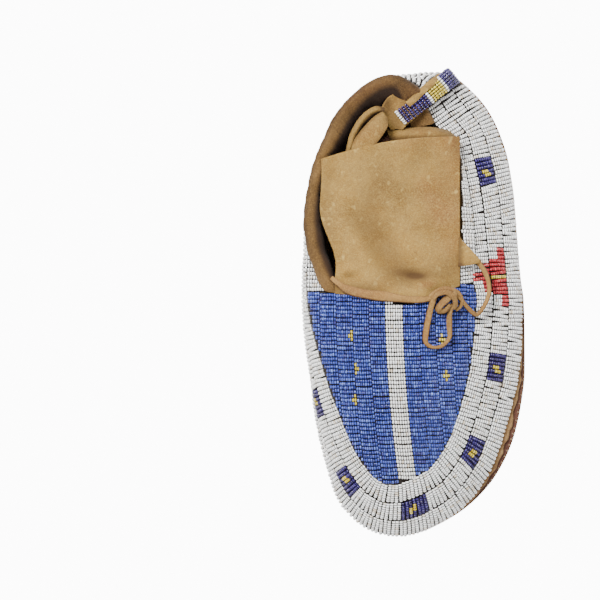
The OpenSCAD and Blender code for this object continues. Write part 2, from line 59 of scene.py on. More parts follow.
# -------- the shape of the hide
# The same rows as the shell follows, in millimetres, from the heel seam round the outer side,
# the toe and the inner side: x, y on the welt, x, y at the top, height of the top where it
# isn't on the vamp's dome, bulge of the wall, how far the sole stands out past the welt line.
ROWS = np.array([
    [20.5, 117.6, 3.5, 105.5, 28, 3, 0.8], [29, 110.3, 6.5, 96.5, 25, 3, 1.2],
    [35.5, 102.5, 13.5, 89, 23, 3, 1.6], [41, 93, 18.5, 84, 22, 3, 1.6],
    [46.4, 79, 20.8, 73.3, 21.5, 3, 1.4], [49.2, 67.2, 23.6, 60.5, 21.5, 3, 1],
    [51, 56.2, 25.4, 49.2, 21.5, 3, 0.8], [53, 30.3, 27.7, 29.2, 21.5, 3, 0.8],
    [54.2, 13, 29.5, 11.5, 0, 3, 1.2], [55, 3, 31, 4.1, 0, 3, 1.8],
    [54.4, -27.2, 28.7, -23.1, 0, 3, 3], [52.6, -40, 27.2, -34.1, 0, 3, 4.4],
    [47.2, -61.5, 22.3, -53.3, 0, 3, 6], [43.1, -75.1, 19.2, -62, 0, 3, 5.4],
    [36.4, -89.5, 16.5, -69.5, 0, 3, 3.8], [24.6, -104.1, 8.6, -81.5, 0, 3, 1.6],
    [8.2, -114.6, 2.1, -86.2, 0, 3, 0.6], [-4.1, -118.4, -5.9, -90, 0, 3, 0.2],
    [-14, -118.2, -11.5, -91.4, 0, 3, 0], [-25.6, -114, -17.4, -89.7, 0, 3, 0],
    [-37.5, -102, -22.6, -85.1, 0, 4, 0], [-42, -90, -28.2, -77.4, 0, 5, 0],
    [-44.2, -81, -31.5, -71, 0, 6, 0], [-46.5, -71.5, -34.5, -63.5, 0, 7, 0],
    [-48, -61, -38.5, -53.3, 0, 8, 0], [-49.2, -48, -42.8, -42, 0, 8, 0],
    [-49.4, -21, -50, -17.4, 0, 9, 0], [-48.7, -4, -53.2, -3, 0, 9, 0],
    [-48, 7.2, -54.2, 7.2, 0, 9, 0], [-46.8, 28, -53.6, 28, 34.5, 9, 0],
    [-45.6, 51, -52.2, 52, 34.5, 9, 0], [-42, 75.5, -47, 77, 34.5, 6, 0],
    [-34, 97, -36, 100, 34.5, 3, 0], [-22.5, 108.5, -23, 111.5, 34.5, 2, 0],
    [-9.5, 115, -10, 115.5, 34.5, 2, 0], [2, 118, -1.5, 113.5, 34, 2.5, 0.2],
    [11.5, 119, 2, 110.5, 32, 3, 0.4]], float)
COUNT = len(ROWS)
OUTER_CORNER, TOE, INNER_CORNER = 8, 18, 28
SOLE_T = 4
WELT_Z = 6
HIDE_T = 1.2
THROAT = np.array([-4, 0.5])
SPINE_END = np.array([-9.5, -72])


def unit(v):
    return v / np.maximum(np.linalg.norm(v, axis=-1, keepdims=True), 1e-9)


def mix(a, b, t):
    return a * (1 - t) + b * t


def soft(t):
    t = np.clip(t, 0, 1)
    return t * t * (3 - 2 * t)


def hump(x, centre, half):
    """1 at the centre, falling smoothly to 0 at half away from it."""
    return soft(1 - np.abs(x - centre) / half)


def dome(x, y):
    return 43.9 - 0.00285 * y ** 2 - (0.0082 - 0.000035 * y) * (x + 20 + 0.07 * y) ** 2


def dome_normal(x, y):
    e = 0.1
    return unit(np.stack([dome(x - e, y) - dome(x + e, y), dome(x, y - e) - dome(x, y + e),
                          np.full(np.shape(x), 2 * e)], -1))


MIDDLES = (ROWS[:, 0:2] + ROWS[:, 2:4]) / 2
GAPS = np.linalg.norm(np.roll(MIDDLES, -1, 0) - MIDDLES, axis=1)
SLOPES = (np.roll(ROWS, -1, 0) - np.roll(ROWS, 1, 0)) / (np.roll(GAPS, 1) + GAPS)[:, None]


def row(u):
    """A smooth closed curve through the rows, spaced by how far apart they are."""
    u = np.asarray(u, float)
    i = np.floor(u).astype(int)
    t = (u - i)[..., None]
    i, j = i % COUNT, (i + 1) % COUNT
    h = GAPS[i][..., None]
    return (ROWS[i] * (2 * t ** 3 - 3 * t ** 2 + 1) + ROWS[j] * (3 * t ** 2 - 2 * t ** 3)
            + SLOPES[i] * h * (t ** 3 - 2 * t ** 2 + t) + SLOPES[j] * h * (t ** 3 - t ** 2))


def foot_of(u):
    r = row(u)
    return np.stack([r[..., 0], r[..., 1], np.full(r.shape[:-1], float(WELT_Z))], -1)


def top_of(u):
    r = row(u)
    w = np.mod(u, COUNT)
    i = np.floor(w).astype(int) % COUNT
    a, b = ROWS[i, 4], ROWS[(i + 1) % COUNT, 4]
    rear = mix(np.where(a == 0, b, a), np.where(b == 0, a, b), w - np.floor(w))
    past = np.where(w < OUTER_CORNER, OUTER_CORNER - w, w - INNER_CORNER)
    front = (w >= OUTER_CORNER) & (w <= INNER_CORNER)
    z = dome(r[..., 2], r[..., 3])
    return np.stack([r[..., 2], r[..., 3], np.where(front, z, mix(z, rear, soft(past)))], -1)


def wall(u, v):
    """A point of the wall: u goes round, v goes from the welt to the top."""
    u = np.asarray(u, float)
    v = np.asarray(v, float)[..., None]
    f, t = foot_of(u), top_of(u)
    out = unit(np.cross(t - f, foot_of(u + 0.25) - foot_of(u - 0.25)))
    m = (f + t) / 2 + out * row(u)[..., 5:6]
    return f * (1 - v) ** 2 + m * 2 * v * (1 - v) + t * v ** 2


def wall_normal(u, v):
    e = 0.04
    up = wall(u, np.minimum(v + e, 1)) - wall(u, np.maximum(v - e, 0))
    return unit(np.cross(up, wall(u + 0.15, v) - wall(u - 0.15, v)))


def outward(u):
    d = foot_of(u + 0.2) - foot_of(u - 0.2)
    return unit(np.stack([-d[..., 1], d[..., 0], 0 * d[..., 0]], -1))


def spine(u):
    """Where each cross line of the vamp meets its middle, from the throat to the toe."""
    w = np.where(u <= TOE, u, OUTER_CORNER + INNER_CORNER - u)
    top_y = ROWS[OUTER_CORNER, 3]
    g = ((top_y - row(w)[..., 3]) / (top_y - ROWS[TOE, 3]))[..., None]
    return mix(THROAT, SPINE_END, g)


# -------- making meshes
def alone(obj=None):
    """Nothing selected but obj, in object mode."""
    if bpy.context.object and bpy.context.object.mode != "OBJECT":
        bpy.ops.object.mode_set(mode="OBJECT")
    bpy.ops.object.select_all(action="DESELECT")
    if obj:
        obj.select_set(True)
        bpy.context.view_layer.objects.active = obj


def places(obj):
    co = np.empty(len(obj.data.vertices) * 3)
    obj.data.vertices.foreach_get("co", co)
    return co.reshape(-1, 3)


def set_places(obj, co):
    obj.data.vertices.foreach_set("co", np.asarray(co, float).ravel())
    obj.data.update()


def in_edit(obj, select, *steps):
    """Selects all ("SELECT") or nothing ("DESELECT") of obj in edit mode, then does the steps."""
    alone(obj)
    bpy.ops.object.mode_set(mode="EDIT")
    bpy.ops.mesh.select_all(action=select)
    for step in steps:
        step()
    bpy.ops.object.mode_set(mode="OBJECT")


def apply(obj, kind, **settings):
    """Adds a modifier with these settings and applies it."""
    alone(obj)
    m = obj.modifiers.new(kind.lower(), kind)
    for name, value in settings.items():
        setattr(m, name, value)
    bpy.ops.object.modifier_apply(modifier=m.name)


def laid(name, across, along, place, flip=False):
    """A flat grid laid onto a surface: place takes two arrays from 0 to 1 and gives mm."""
    alone()
    bpy.ops.mesh.primitive_grid_add(x_subdivisions=across, y_subdivisions=along, size=1)
    obj = bpy.context.object
    obj.name = obj.data.name = name
    co = places(obj) + 0.5
    set_places(obj, place(co[:, 0], co[:, 1]) * MM)
    if flip:
        in_edit(obj, "SELECT", bpy.ops.mesh.flip_normals)
    return obj


def smooth(obj):
    alone(obj)
    bpy.ops.object.shade_smooth()


def thicken(obj, thickness, offset=-1.0, edge=0.25):
    """Gives a sheet its thickness in mm, with rounded cut edges."""
    apply(obj, "SOLIDIFY", thickness=thickness * MM, offset=offset, use_even_offset=False)
    if edge:
        apply(obj, "BEVEL", width=edge * MM, segments=2, limit_method="ANGLE",
              angle_limit=1.0)
    smooth(obj)


def merged(obj, distance=0.02):
    in_edit(obj, "SELECT", lambda: bpy.ops.mesh.remove_doubles(threshold=distance * MM))


def outwards(obj):
    in_edit(obj, "SELECT", lambda: bpy.ops.mesh.normals_make_consistent(inside=False))


def closed(obj):
    """Fills the open ends of a tube and points its faces outwards."""
    def fill():
        bpy.ops.mesh.select_mode(type="EDGE")
        bpy.ops.mesh.select_non_manifold(extend=False, use_boundary=True)
        bpy.ops.mesh.edge_face_add()
    in_edit(obj, "DESELECT", fill)
    outwards(obj)
    smooth(obj)


def join(first, *others):
    alone(first)
    for other in others:
        other.select_set(True)
    bpy.ops.object.join()


def finish_piece(obj, nodes, material, body="root"):
    """Gives a piece its material and body, and hides the CAD nodes that it stands for."""
    obj.data.materials.clear()
    obj.data.materials.append(material)
    if body:
        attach(obj, body)
    if nodes:
        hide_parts(*nodes)
    return obj


def tag(obj, name, values):
    """A number for each vertex, which the material reads."""
    a = obj.data.attributes.new(name, "FLOAT", "POINT")
    a.data.foreach_set("value", np.asarray(values, np.float32))


def between(p, q, r, s, t):
    """A place on the smooth curve from q to r, with p before and s after them."""
    return (2 * q + (r - p) * t + (2 * p - 5 * q + 4 * r - s) * t ** 2
            + (3 * q - p - 3 * r + s) * t ** 3) / 2


def spline(route, per=8):
    """A smooth curve through points, per steps between two of them."""
    route = np.array(route, float)
    out = []
    for i in range(len(route) - 1):
        near = [route[min(max(i + d, 0), len(route) - 1)] for d in (-1, 0, 1, 2)]
        out += [between(*near, t) for t in np.arange(per) / per]
    return np.array(out + [route[-1]])


def steps_of(line):
    return np.linalg.norm(np.diff(line, axis=0), axis=1)


def length_of(line):
    return float(steps_of(line).sum())


def along_curve(route, t):
    """Places at shares t of the length of a smooth curve through the route's points."""
    line = spline(route, 12)
    run = np.concatenate([[0], np.cumsum(steps_of(line))])
    return np.stack([np.interp(t * run[-1], run, line[:, k]) for k in range(3)], -1)


def lofted(name, curves, across, along, ripple):
    """A sheet through curves, which run along it, first curve to last across it."""
    def place(a, b):
        keys = np.stack([along_curve(c, b) for c in curves], 1)
        last = len(curves) - 1
        f = np.clip(a * last, 0, last - 1e-6)
        i = f.astype(int)
        t = (f - i)[:, None]
        n = np.arange(len(a))
        out = between(*(keys[n, np.clip(i + d, 0, last)] for d in (-1, 0, 1, 2)), t)
        return out if ripple is None else out + ripple(a, b, out)
    return laid(name, across, along, place)


# -------- materials
def group(name, inputs, outputs):
    g = bpy.data.node_groups.new(name, "ShaderNodeTree")
    for kind, label, value in inputs:
        s = g.interface.new_socket(label, in_out="INPUT", socket_type="NodeSocket" + kind)
        s.default_value = value
    for kind, label in outputs:
        g.interface.new_socket(label, in_out="OUTPUT", socket_type="NodeSocket" + kind)
    return g, g.nodes.new("NodeGroupInput"), g.nodes.new("NodeGroupOutput")


def feed(tree, socket, value):
    """Links an input to a socket, or sets it to a value."""
    if isinstance(value, bpy.types.NodeSocket):
        tree.links.new(value, socket)
    else:
        socket.default_value = value


def node(tree, kind, **values):
    """A new node: each value goes to the input of that name, or else to the setting."""
    n = tree.nodes.new("ShaderNode" + kind)
    for key, value in values.items():
        if key in n.inputs:
            feed(tree, n.inputs[key], value)
        else:
            setattr(n, key, value)
    return n


def noise(tree, where, scale, detail=3, rough=0.55):
    return node(tree, "TexNoise", Vector=where, Scale=scale, Detail=detail,
                Roughness=rough).outputs["Fac"]


def number(tree, name):
    """A piece's own number for each vertex."""
    return node(tree, "Attribute", attribute_name=name).outputs["Fac"]


def blend_colour(tree, fac, a, b):
    """Two colours mixed; fac, a and b are sockets or values."""
    n = node(tree, "Mix", data_type="RGBA")
    for i, value in ((0, fac), (6, a), (7, b)):
        feed(tree, n.inputs[i], value)
    return n.outputs[2]


def span(tree, value, low, high, to_low=0.0, to_high=1.0):
    """A value moved from the range low to high into the range to_low to to_high."""
    n = node(tree, "MapRange")
    for socket, v in zip(n.inputs, (value, low, high, to_low, to_high)):
        feed(tree, socket, v)
    return n.outputs[0]


def math(tree, kind, a, b):
    n = node(tree, "Math", operation=kind)
    for socket, value in zip(n.inputs, (a, b)):
        feed(tree, socket, value)
    return n.outputs[0]


def make_hide_group():
    """Brain-tanned hide: cloudy colour, pale rubbed spots, dark handling, nap and creases, and
    painted shade where a piece's shade number is high.
    """
    g, i, o = group("hide", [
        ("Color", "Base", (0.4, 0.25, 0.13, 1)), ("Color", "Dark", (0.2, 0.1, 0.05, 1)),
        ("Color", "Pale", (0.55, 0.4, 0.25, 1)), ("Color", "Rust", (0.36, 0.15, 0.05, 1)),
        ("Float", "Cloud", 0.5), ("Float", "Spots", 0.5), ("Float", "Grain", 1.0)],
        [("Color", "Color"), ("Float", "Roughness"), ("Float", "Height")])
    base, dark, pale, rust, cloudiness, spottiness, graininess = list(i.outputs)[:7]
    where = node(g, "TexCoord").outputs["Object"]
    shade, warm = number(g, "shade"), number(g, "warm")
    cloud = span(g, noise(g, where, 28, 4, 0.6), 0.38, 0.66)
    streak = span(g, noise(g, where, 95, 5, 0.65), 0.35, 0.7)
    spots = span(g, noise(g, where, 230, 2, 0.5), 0.63, 0.76)
    freckle = span(g, noise(g, where, 420, 2, 0.5), 0.66, 0.78)
    grain = noise(g, where, 1500, 3, 0.7)
    nap = noise(g, where, 520, 4, 0.7)
    rusty = blend_colour(g, math(g, "MULTIPLY", warm, math(g, "ADD", 0.35, streak)),
                         base, rust)
    cloudy = blend_colour(g, math(g, "MULTIPLY", cloud, cloudiness), rusty, dark)
    streaked = blend_colour(g, math(g, "MULTIPLY", streak, 0.25), cloudy, pale)
    spotted = blend_colour(g, math(g, "MULTIPLY", spots, spottiness), streaked, pale)
    freckled = blend_colour(g, math(g, "MULTIPLY", freckle, 0.35), spotted, dark)
    napped = blend_colour(g, span(g, nap, 0.35, 0.7, 0.0, 0.3), freckled, (0.08, 0.04, 0.02, 1))
    grained = blend_colour(g, span(g, grain, 0.45, 0.72, 0.0, 0.5), napped, pale)
    # painted shade: the shade number darkens the hide towards its Dark colour
    shaded = blend_colour(g, shade, grained, dark)
    g.links.new(shaded, o.inputs["Color"])
    g.links.new(span(g, streak, 0, 1, 0.92, 0.8), o.inputs["Roughness"])
    height = math(g, "ADD", math(g, "MULTIPLY", grain, graininess),
                  math(g, "MULTIPLY", nap, 1.4))
    g.links.new(height, o.inputs["Height"])
    return g


HIDE = make_hide_group()


def principled(name):
    m = bpy.data.materials.new(name)
    m.use_nodes = True
    return m, m.node_tree, m.node_tree.nodes["Principled BSDF"]


def set_shader(tree, shader, **values):
    """Base_Color stands for the input Base Color, and so on."""
    for key, value in values.items():
        feed(tree, shader.inputs[key.replace("_", " ")], value)


def hide_material(name, base, dark, pale, rust=(0.36, 0.15, 0.05), cloud=0.5, spots=0.5,
                  grain=1.0, bump=0.5, sheen=0.15):
    """The hide group reads two vertex numbers: shade darkens the hide and warm turns it rusty."""
    m, tree, s = principled(name)
    h = node(tree, "Group", node_tree=HIDE, Base=(*base, 1), Dark=(*dark, 1), Pale=(*pale, 1),
             Rust=(*rust, 1), Cloud=cloud, Spots=spots, Grain=grain).outputs
    b = node(tree, "Bump", Strength=bump, Distance=0.0004, Height=h["Height"])
    set_shader(tree, s, Base_Color=h["Color"], Roughness=h["Roughness"],
               Specular_IOR_Level=0.25, Sheen_Weight=sheen, Sheen_Roughness=0.5,
               Normal=b.outputs["Normal"])
    return m


def make_glass_group():
    """Seed-bead glass: each bead its own tone, a few stained ones, cloudy dirt, and painted shade at
    its ends and underside, where beads meet.
    """
    g, i, o = group("bead_glass", [
        ("Color", "Base", (0.8, 0.8, 0.8, 1)), ("Color", "Deep", (0.5, 0.5, 0.5, 1)),
        ("Color", "Light", (1, 1, 1, 1)), ("Color", "Stain", (0.5, 0.4, 0.2, 1)),
        ("Color", "Gap", (0.05, 0.04, 0.03, 1)), ("Float", "Dirt", 0.3)],
        [("Color", "Color"), ("Float", "Roughness")])
    base, deepest, lightest, stain, gap_shade, dirtiness = list(i.outputs)[:6]
    where = node(g, "TexCoord").outputs["Object"]
    tone, tint, ends = (number(g, name) for name in ("tone", "tint", "ends"))
    deep = blend_colour(g, span(g, tone, 0.5, 0.0), base, deepest)
    light = blend_colour(g, span(g, tone, 0.5, 1.0), deep, lightest)
    stained = blend_colour(g, span(g, tint, 0.86, 0.98, 0, 0.75), light, stain)
    dirt = span(g, noise(g, where, 60, 4, 0.6), 0.45, 0.75)
    dirty = blend_colour(g, math(g, "MULTIPLY", dirt, dirtiness), stained,
                         (0.16, 0.11, 0.07, 1))
    # painted shade: a bead's ends and underside go towards the Gap colour, for the shadow between
    # beads
    crevice_shaded = blend_colour(g, span(g, ends, 0.1, 0.95, 0, 0.93), dirty, gap_shade)
    g.links.new(crevice_shaded, o.inputs["Color"])
    g.links.new(span(g, noise(g, where, 900, 2, 0.5), 0.3, 0.7, 0.1, 0.26),
                o.inputs["Roughness"])
    return g


GLASS = make_glass_group()


def bead_material(name, base, deep, light, stain, gap_shade, dirt=0.2):
    m, tree, s = principled(name)
    g = node(tree, "Group", node_tree=GLASS, Base=(*base, 1), Deep=(*deep, 1),
             Light=(*light, 1), Stain=(*stain, 1), Gap=(*gap_shade, 1), Dirt=dirt).outputs
    set_shader(tree, s, Base_Color=g["Color"], Roughness=g["Roughness"], Specular_IOR_Level=0.6)
    return m


BUCKSKIN = hide_material("smoked_buckskin", (0.27, 0.148, 0.029), (0.075, 0.038, 0.012),
                         (0.48, 0.33, 0.10), rust=(0.19, 0.062, 0.010), cloud=0.48, spots=0.85,
                         sheen=0.02)
# painted shade: the upper's hide is coloured nearly black, for the shadow in the gaps between beads
SHADED_UPPER_HIDE = hide_material("upper_buckskin_painted_shade", (0.10, 0.07, 0.045), (0.012, 0.01, 0.012),
                           (0.2, 0.15, 0.1))
NAPPED = hide_material("napped_buckskin", (0.13, 0.07, 0.018), (0.024, 0.011, 0.005),
                       (0.28, 0.165, 0.05), rust=(0.085, 0.03, 0.01), cloud=0.7, spots=0.25,
                       grain=1.6, bump=0.8, sheen=0.02)
THONG = hide_material("thong_hide", (0.25, 0.13, 0.035), (0.06, 0.025, 0.009),
                      (0.42, 0.26, 0.085), rust=(0.17, 0.062, 0.014), cloud=0.6, spots=0.4,
                      sheen=0.02)
WELT_HIDE = hide_material("welt_hide", (0.24, 0.135, 0.05), (0.08, 0.035, 0.018),
                          (0.38, 0.25, 0.11), cloud=0.7, sheen=0.02)
RAWHIDE = hide_material("rawhide", (0.085, 0.028, 0.02), (0.03, 0.01, 0.009),
                        (0.2, 0.1, 0.055), cloud=0.8, spots=0.4, bump=0.7, sheen=0)
SINEW = hide_material("sinew", (0.24, 0.16, 0.09), (0.10, 0.06, 0.03), (0.4, 0.3, 0.18))
WHITE = bead_material("white_glass", (0.95, 0.95, 0.93), (0.72, 0.70, 0.67),
                      (0.99, 0.99, 0.99), (0.66, 0.53, 0.36), (0.075, 0.06, 0.05), dirt=0.12)
BLUE = bead_material("blue_glass", (0.045, 0.072, 0.37), (0.013, 0.02, 0.14),
                     (0.15, 0.23, 0.68), (0.045, 0.04, 0.2), (0.006, 0.008, 0.04), dirt=0.06)
NAVY = bead_material("navy_glass", (0.022, 0.012, 0.11), (0.008, 0.005, 0.04),
                     (0.06, 0.04, 0.22), (0.03, 0.02, 0.06), (0.004, 0.003, 0.012), dirt=0.08)
YELLOW = bead_material("yellow_glass", (0.60, 0.46, 0.035), (0.40, 0.28, 0.02),
                       (0.76, 0.64, 0.16), (0.5, 0.4, 0.1), (0.06, 0.035, 0.01), dirt=0.12)
RED = bead_material("red_glass", (0.50, 0.022, 0.03), (0.22, 0.008, 0.012),
                    (0.66, 0.09, 0.08), (0.35, 0.02, 0.02), (0.05, 0.004, 0.006), dirt=0.06)

# -------- thongs
THONG_W = 2.8
THONG_T = 1.5
# The routes of the thong, in mm, from the tongue's fold to the knot and out to its loops
RUN = [[-43, 14.4, 43.8], [-39, 11.2, 45.2], [-34.6, 8.4, 46.3], [-25, 6, 47.2],
       [-15, 4.8, 47], [-6, 3.6, 46.1], [2, 3.2, 44], [8, 3.8, 42.2]]
BOW = [[9.6, 4.4, 42.2], [8, 0, 42.2], [6.6, -6, 42.3], [5.3, -13, 42.3], [5.2, -18.4, 41.9],
       [8.2, -20.9, 40.5], [12.4, -20.9, 38.6], [15.6, -18.8, 37.3], [17.6, -15.6, 36.6],
       [17.4, -10, 37], [17.6, -4, 37.4], [19, 1, 38]]
SIDE = [[20.6, 6.6, 37.6], [23.6, 3.2, 35.6], [27.6, -1.6, 32.6], [31.6, -4.4, 30],
        [35, -0.8, 28.2], [37.4, 4.2, 27.2], [38.2, 9, 26.8], [37.4, 13.8, 27],
        [35.4, 18.4, 27.6], [32.2, 22.9, 28.4]]


def thong(name, route, widths, twist=0.0):
    """A flat strip of hide swept along a route, its face up: widths are spread along it."""
    line = spline(route, 10)
    last = len(line) - 1
    tangent = unit(np.gradient(line, axis=0))
    across = unit(np.cross(tangent, [0.0, 0.0, 1.0]))
    face = unit(np.cross(across, tangent))
    share = np.linspace(0, 1, last + 1)
    turn = twist * share + 0.12 * np.sin(share * 17)
    width = np.interp(share, np.linspace(0, 1, len(widths)), widths) * THONG_W / 2
    width = width * (1 + 0.06 * np.sin(share * 23 + 1))

    def place(a, b):
        i = np.rint(b * last).astype(int)
        w = 2 * np.pi * a
        # A flattened ring: nearly a rectangle with rounded edges
        cx, cy = np.cos(w), np.sin(w)
        cx, cy = np.sign(cx) * np.abs(cx) ** 0.6, np.sign(cy) * np.abs(cy) ** 0.8
        x, y = cx * width[i], cy * THONG_T / 2
        c, s = np.cos(turn[i]), np.sin(turn[i])
        return line[i] + across[i] * (x * c - y * s)[:, None] + face[i] * (x * s + y * c)[:, None]
    obj = laid(name, 12, last, place)
    merged(obj, 0.005)
    closed(obj)
    co = places(obj) / MM
    near = np.argmin(((co[:, None] - line[None]) ** 2).sum(2), axis=1)
    off = ((co - line[near]) * across[near]).sum(1) / width[near]
    dark_edges = 0.9 * soft((off - 0.55) / 0.4) + 0.35 * soft((-off - 0.8) / 0.2)
    tag(obj, "shade", np.clip(dark_edges, 0, 1))
    tag(obj, "warm", 0.8 * hump(share[near], 0.35, 0.3))
    return obj, line * MM


bow, bow_line = thong("lace_bow_loop", BOW, widths=(1.0, 1.25, 1.0, 0.6, 0.75, 1.15, 0.9),
                      twist=0.5)
finish_piece(bow, ["lace_bow"], THONG)
side_loop, side_line = thong("lace_side_strand", SIDE, widths=(0.9, 0.85, 0.75, 0.8, 0.95, 1.1),
                             twist=0.6)
finish_piece(side_loop, ["lace_side_loop"], THONG)

run, _ = thong("lace_throat_strand", RUN, widths=(0.8, 1.2, 1.7, 1.9, 1.5, 1.2, 1.0))
finish_piece(run, ["lace_run"], THONG)

# The knot: a ring from the run round over the top, and a wrap that comes up through it
KNOT_RING = [[7.4, 4.6, 42.6], [10.8, 7.4, 42], [15.6, 8.8, 40.6], [20.6, 7.6, 38.4],
             [23.6, 4, 36], [23.4, 0.4, 35.2], [20.8, -2.2, 36]]
KNOT_WRAP = [[20.8, 6.4, 38.6], [18, 5.4, 40.4], [14.8, 2.6, 41.2], [12, -0.6, 41.6],
             [12.2, -2.6, 40.7], [15.2, -2.2, 39.6], [17.8, 0.8, 39.4]]
KNOT_CROSS = [[9, 3.6, 43], [11.4, 6, 43], [15.4, 7, 42.2], [19.4, 4.6, 40.4], [20.4, 1.2, 38.6],
              [19.4, -1.4, 37.4]]
knot, _ = thong("lace_knot_ring", KNOT_RING, widths=(0.9, 1.0, 0.9, 0.8, 0.7, 0.6))
wrap, _ = thong("lace_knot_wrap", KNOT_WRAP, widths=(1.1, 1.4, 1.3, 1.0, 0.9), twist=-0.5)
cross, _ = thong("lace_knot_cross", KNOT_CROSS, widths=(0.8, 1.0, 1.2, 1.1, 0.9), twist=0.4)
join(knot, wrap, cross)
finish_piece(knot, ["lace_knot"], THONG)


# -------- beads
def make_bead():
    """One seed bead along Z, one unit long and wide each way from its middle: 80 triangles."""
    alone()
    bpy.ops.mesh.primitive_uv_sphere_add(segments=8, ring_count=6, radius=1)
    bead = bpy.context.object

    def shape(ring_z, squeeze, grow):
        in_edit(bead, "DESELECT")
        for v in bead.data.vertices:
            v.select = abs(abs(v.co.z) - ring_z) < 0.02
        bpy.ops.object.mode_set(mode="EDIT")
        bpy.ops.transform.resize(value=(grow, grow, squeeze), center_override=(0, 0, 0))
        bpy.ops.object.mode_set(mode="OBJECT")

    # The poles go in, as the thread's hole, and the rings out, as a short rounded drum
    shape(1.0, 0.5, 1.0)
    shape(0.866, 1.09, 1.08)
    shape(0.5, 1.24, 1.04)
    co = places(bead)
    faces = [tuple(p.vertices) for p in bead.data.polygons]
    bpy.data.objects.remove(bead)
    return co, faces


BEAD_PLACES, BEAD_FACES = make_bead()
# 1 at a bead's ends and underside, painted shade for the crevices where beads meet, and 0 on its
# face
BEAD_CREVICE_SHADE = np.where(np.abs(BEAD_PLACES[:, 2]) > 0.8, 1.0,
                     np.where(np.abs(BEAD_PLACES[:, 2]) > 0.3, 0.2, 0.0))
BEAD_CREVICE_SHADE[np.hypot(BEAD_PLACES[:, 0], BEAD_PLACES[:, 1]) < 0.01] = 1.0
BEAD_CREVICE_SHADE = np.maximum(BEAD_CREVICE_SHADE, np.interp(BEAD_PLACES[:, 1], [-0.1, 0.7], [0.85, 0.0]))
BEAD_D = 1.98
TIGHT = 0.97  # a bead's length as a share of its place on the thread


def bead_piece(name, beads, nodes, material):
    """One mesh of many beads. beads is a dict of arrays: at, axis, up, long, wide, tone."""
    at, axis, up = beads["at"], unit(beads["axis"]), beads["up"]
    side = unit(np.cross(axis, up))
    up = np.cross(side, axis)
    n, k = len(at), len(BEAD_PLACES)
    x, y, z = (BEAD_PLACES[None, :, i:i + 1] * beads[key][:, None, None] / 2
               for i, key in enumerate(("wide", "wide", "long")))
    co = (at[:, None] + axis[:, None] * z + side[:, None] * x + up[:, None] * y) * MM
    sizes = np.array([len(f) for f in BEAD_FACES])
    loops = np.concatenate([np.array(f) for f in BEAD_FACES])
    starts = np.concatenate([[0], np.cumsum(sizes)[:-1]])

    def repeated(numbers, step):
        return (numbers[None] + np.arange(n)[:, None] * step).ravel().astype(np.int32)
    mesh = bpy.data.meshes.new(name)
    mesh.vertices.add(n * k)
    mesh.vertices.foreach_set("co", co.ravel())
    mesh.loops.add(n * len(loops))
    mesh.loops.foreach_set("vertex_index", repeated(loops, k))
    mesh.polygons.add(n * len(sizes))
    mesh.polygons.foreach_set("loop_start", repeated(starts, len(loops)))
    mesh.polygons.foreach_set("use_smooth", np.ones(n * len(sizes), bool))
    mesh.update(calc_edges=True)
    obj = bpy.data.objects.new(name, mesh)
    bpy.context.scene.collection.objects.link(obj)
    for key in ("tone", "tint"):
        tag(obj, key, np.repeat(beads[key], k))
    tag(obj, "ends", np.tile(BEAD_CREVICE_SHADE, n))
    mesh.validate()
    return finish_piece(obj, nodes, material)


def pick(beads, mask):
    return {key: value[mask] for key, value in beads.items()}


def joined(parts):
    return {key: np.concatenate([p[key] for p in parts]) for key in parts[0]}


def strung(ends, ups, keys, arch=0.7):
    """Rows of beads on threads. ends is (rows, beads + 1, 3): where each bead starts and the
    last one ends. ups is the hide's normal at the same places. keys are numbers for each bead."""
    rows, beads = ends.shape[0], ends.shape[1] - 1
    w = np.linspace(-1, 1, beads + 1)
    wobble = rng.normal(0, 0.07, (rows, 1))
    rise = (arch * (1 - w ** 2) + BEAD_D / 2)[None] + wobble
    line = ends + ups * rise[..., None]
    at = (line[:, 1:] + line[:, :-1]) / 2
    axis = line[:, 1:] - line[:, :-1]
    up = unit(ups[:, 1:] + ups[:, :-1])
    size = np.linalg.norm(axis, axis=-1)
    shape = (rows, beads)
    out = {
        "at": at + rng.normal(0, 0.035, (*shape, 3)),
        "axis": unit(axis) + rng.normal(0, 0.05, (*shape, 3)),
        "up": up,
        "long": size * TIGHT * rng.normal(1, 0.02, shape),
        "wide": BEAD_D * rng.normal(0.98, 0.035, shape),
        "tone": np.clip(0.5 + rng.normal(0, 0.17, shape) + rng.normal(0, 0.07, (rows, 1)), 0, 1),
        "tint": rng.random(shape)}
    out = {key: value.reshape(-1, *value.shape[2:]) for key, value in out.items()}
    for key, value in keys.items():
        out[key] = np.broadcast_to(value, shape).ravel()
    return out


LANES = {"outer": (0.02, 0.325), "middle": (0.35, 0.655), "inner": (0.68, 0.985)}
LANE_START, LANE_END = 0.45, COUNT - 0.4
PITCH = 2.03


def heel_looseness(u):
    """How loose the rows are: 1 at the heel seam, 0 from the side on."""
    return np.clip(1 - u / 2.2, 0, 1) + np.clip((u - (COUNT - 4.5)) / 2.5, 0, 1)


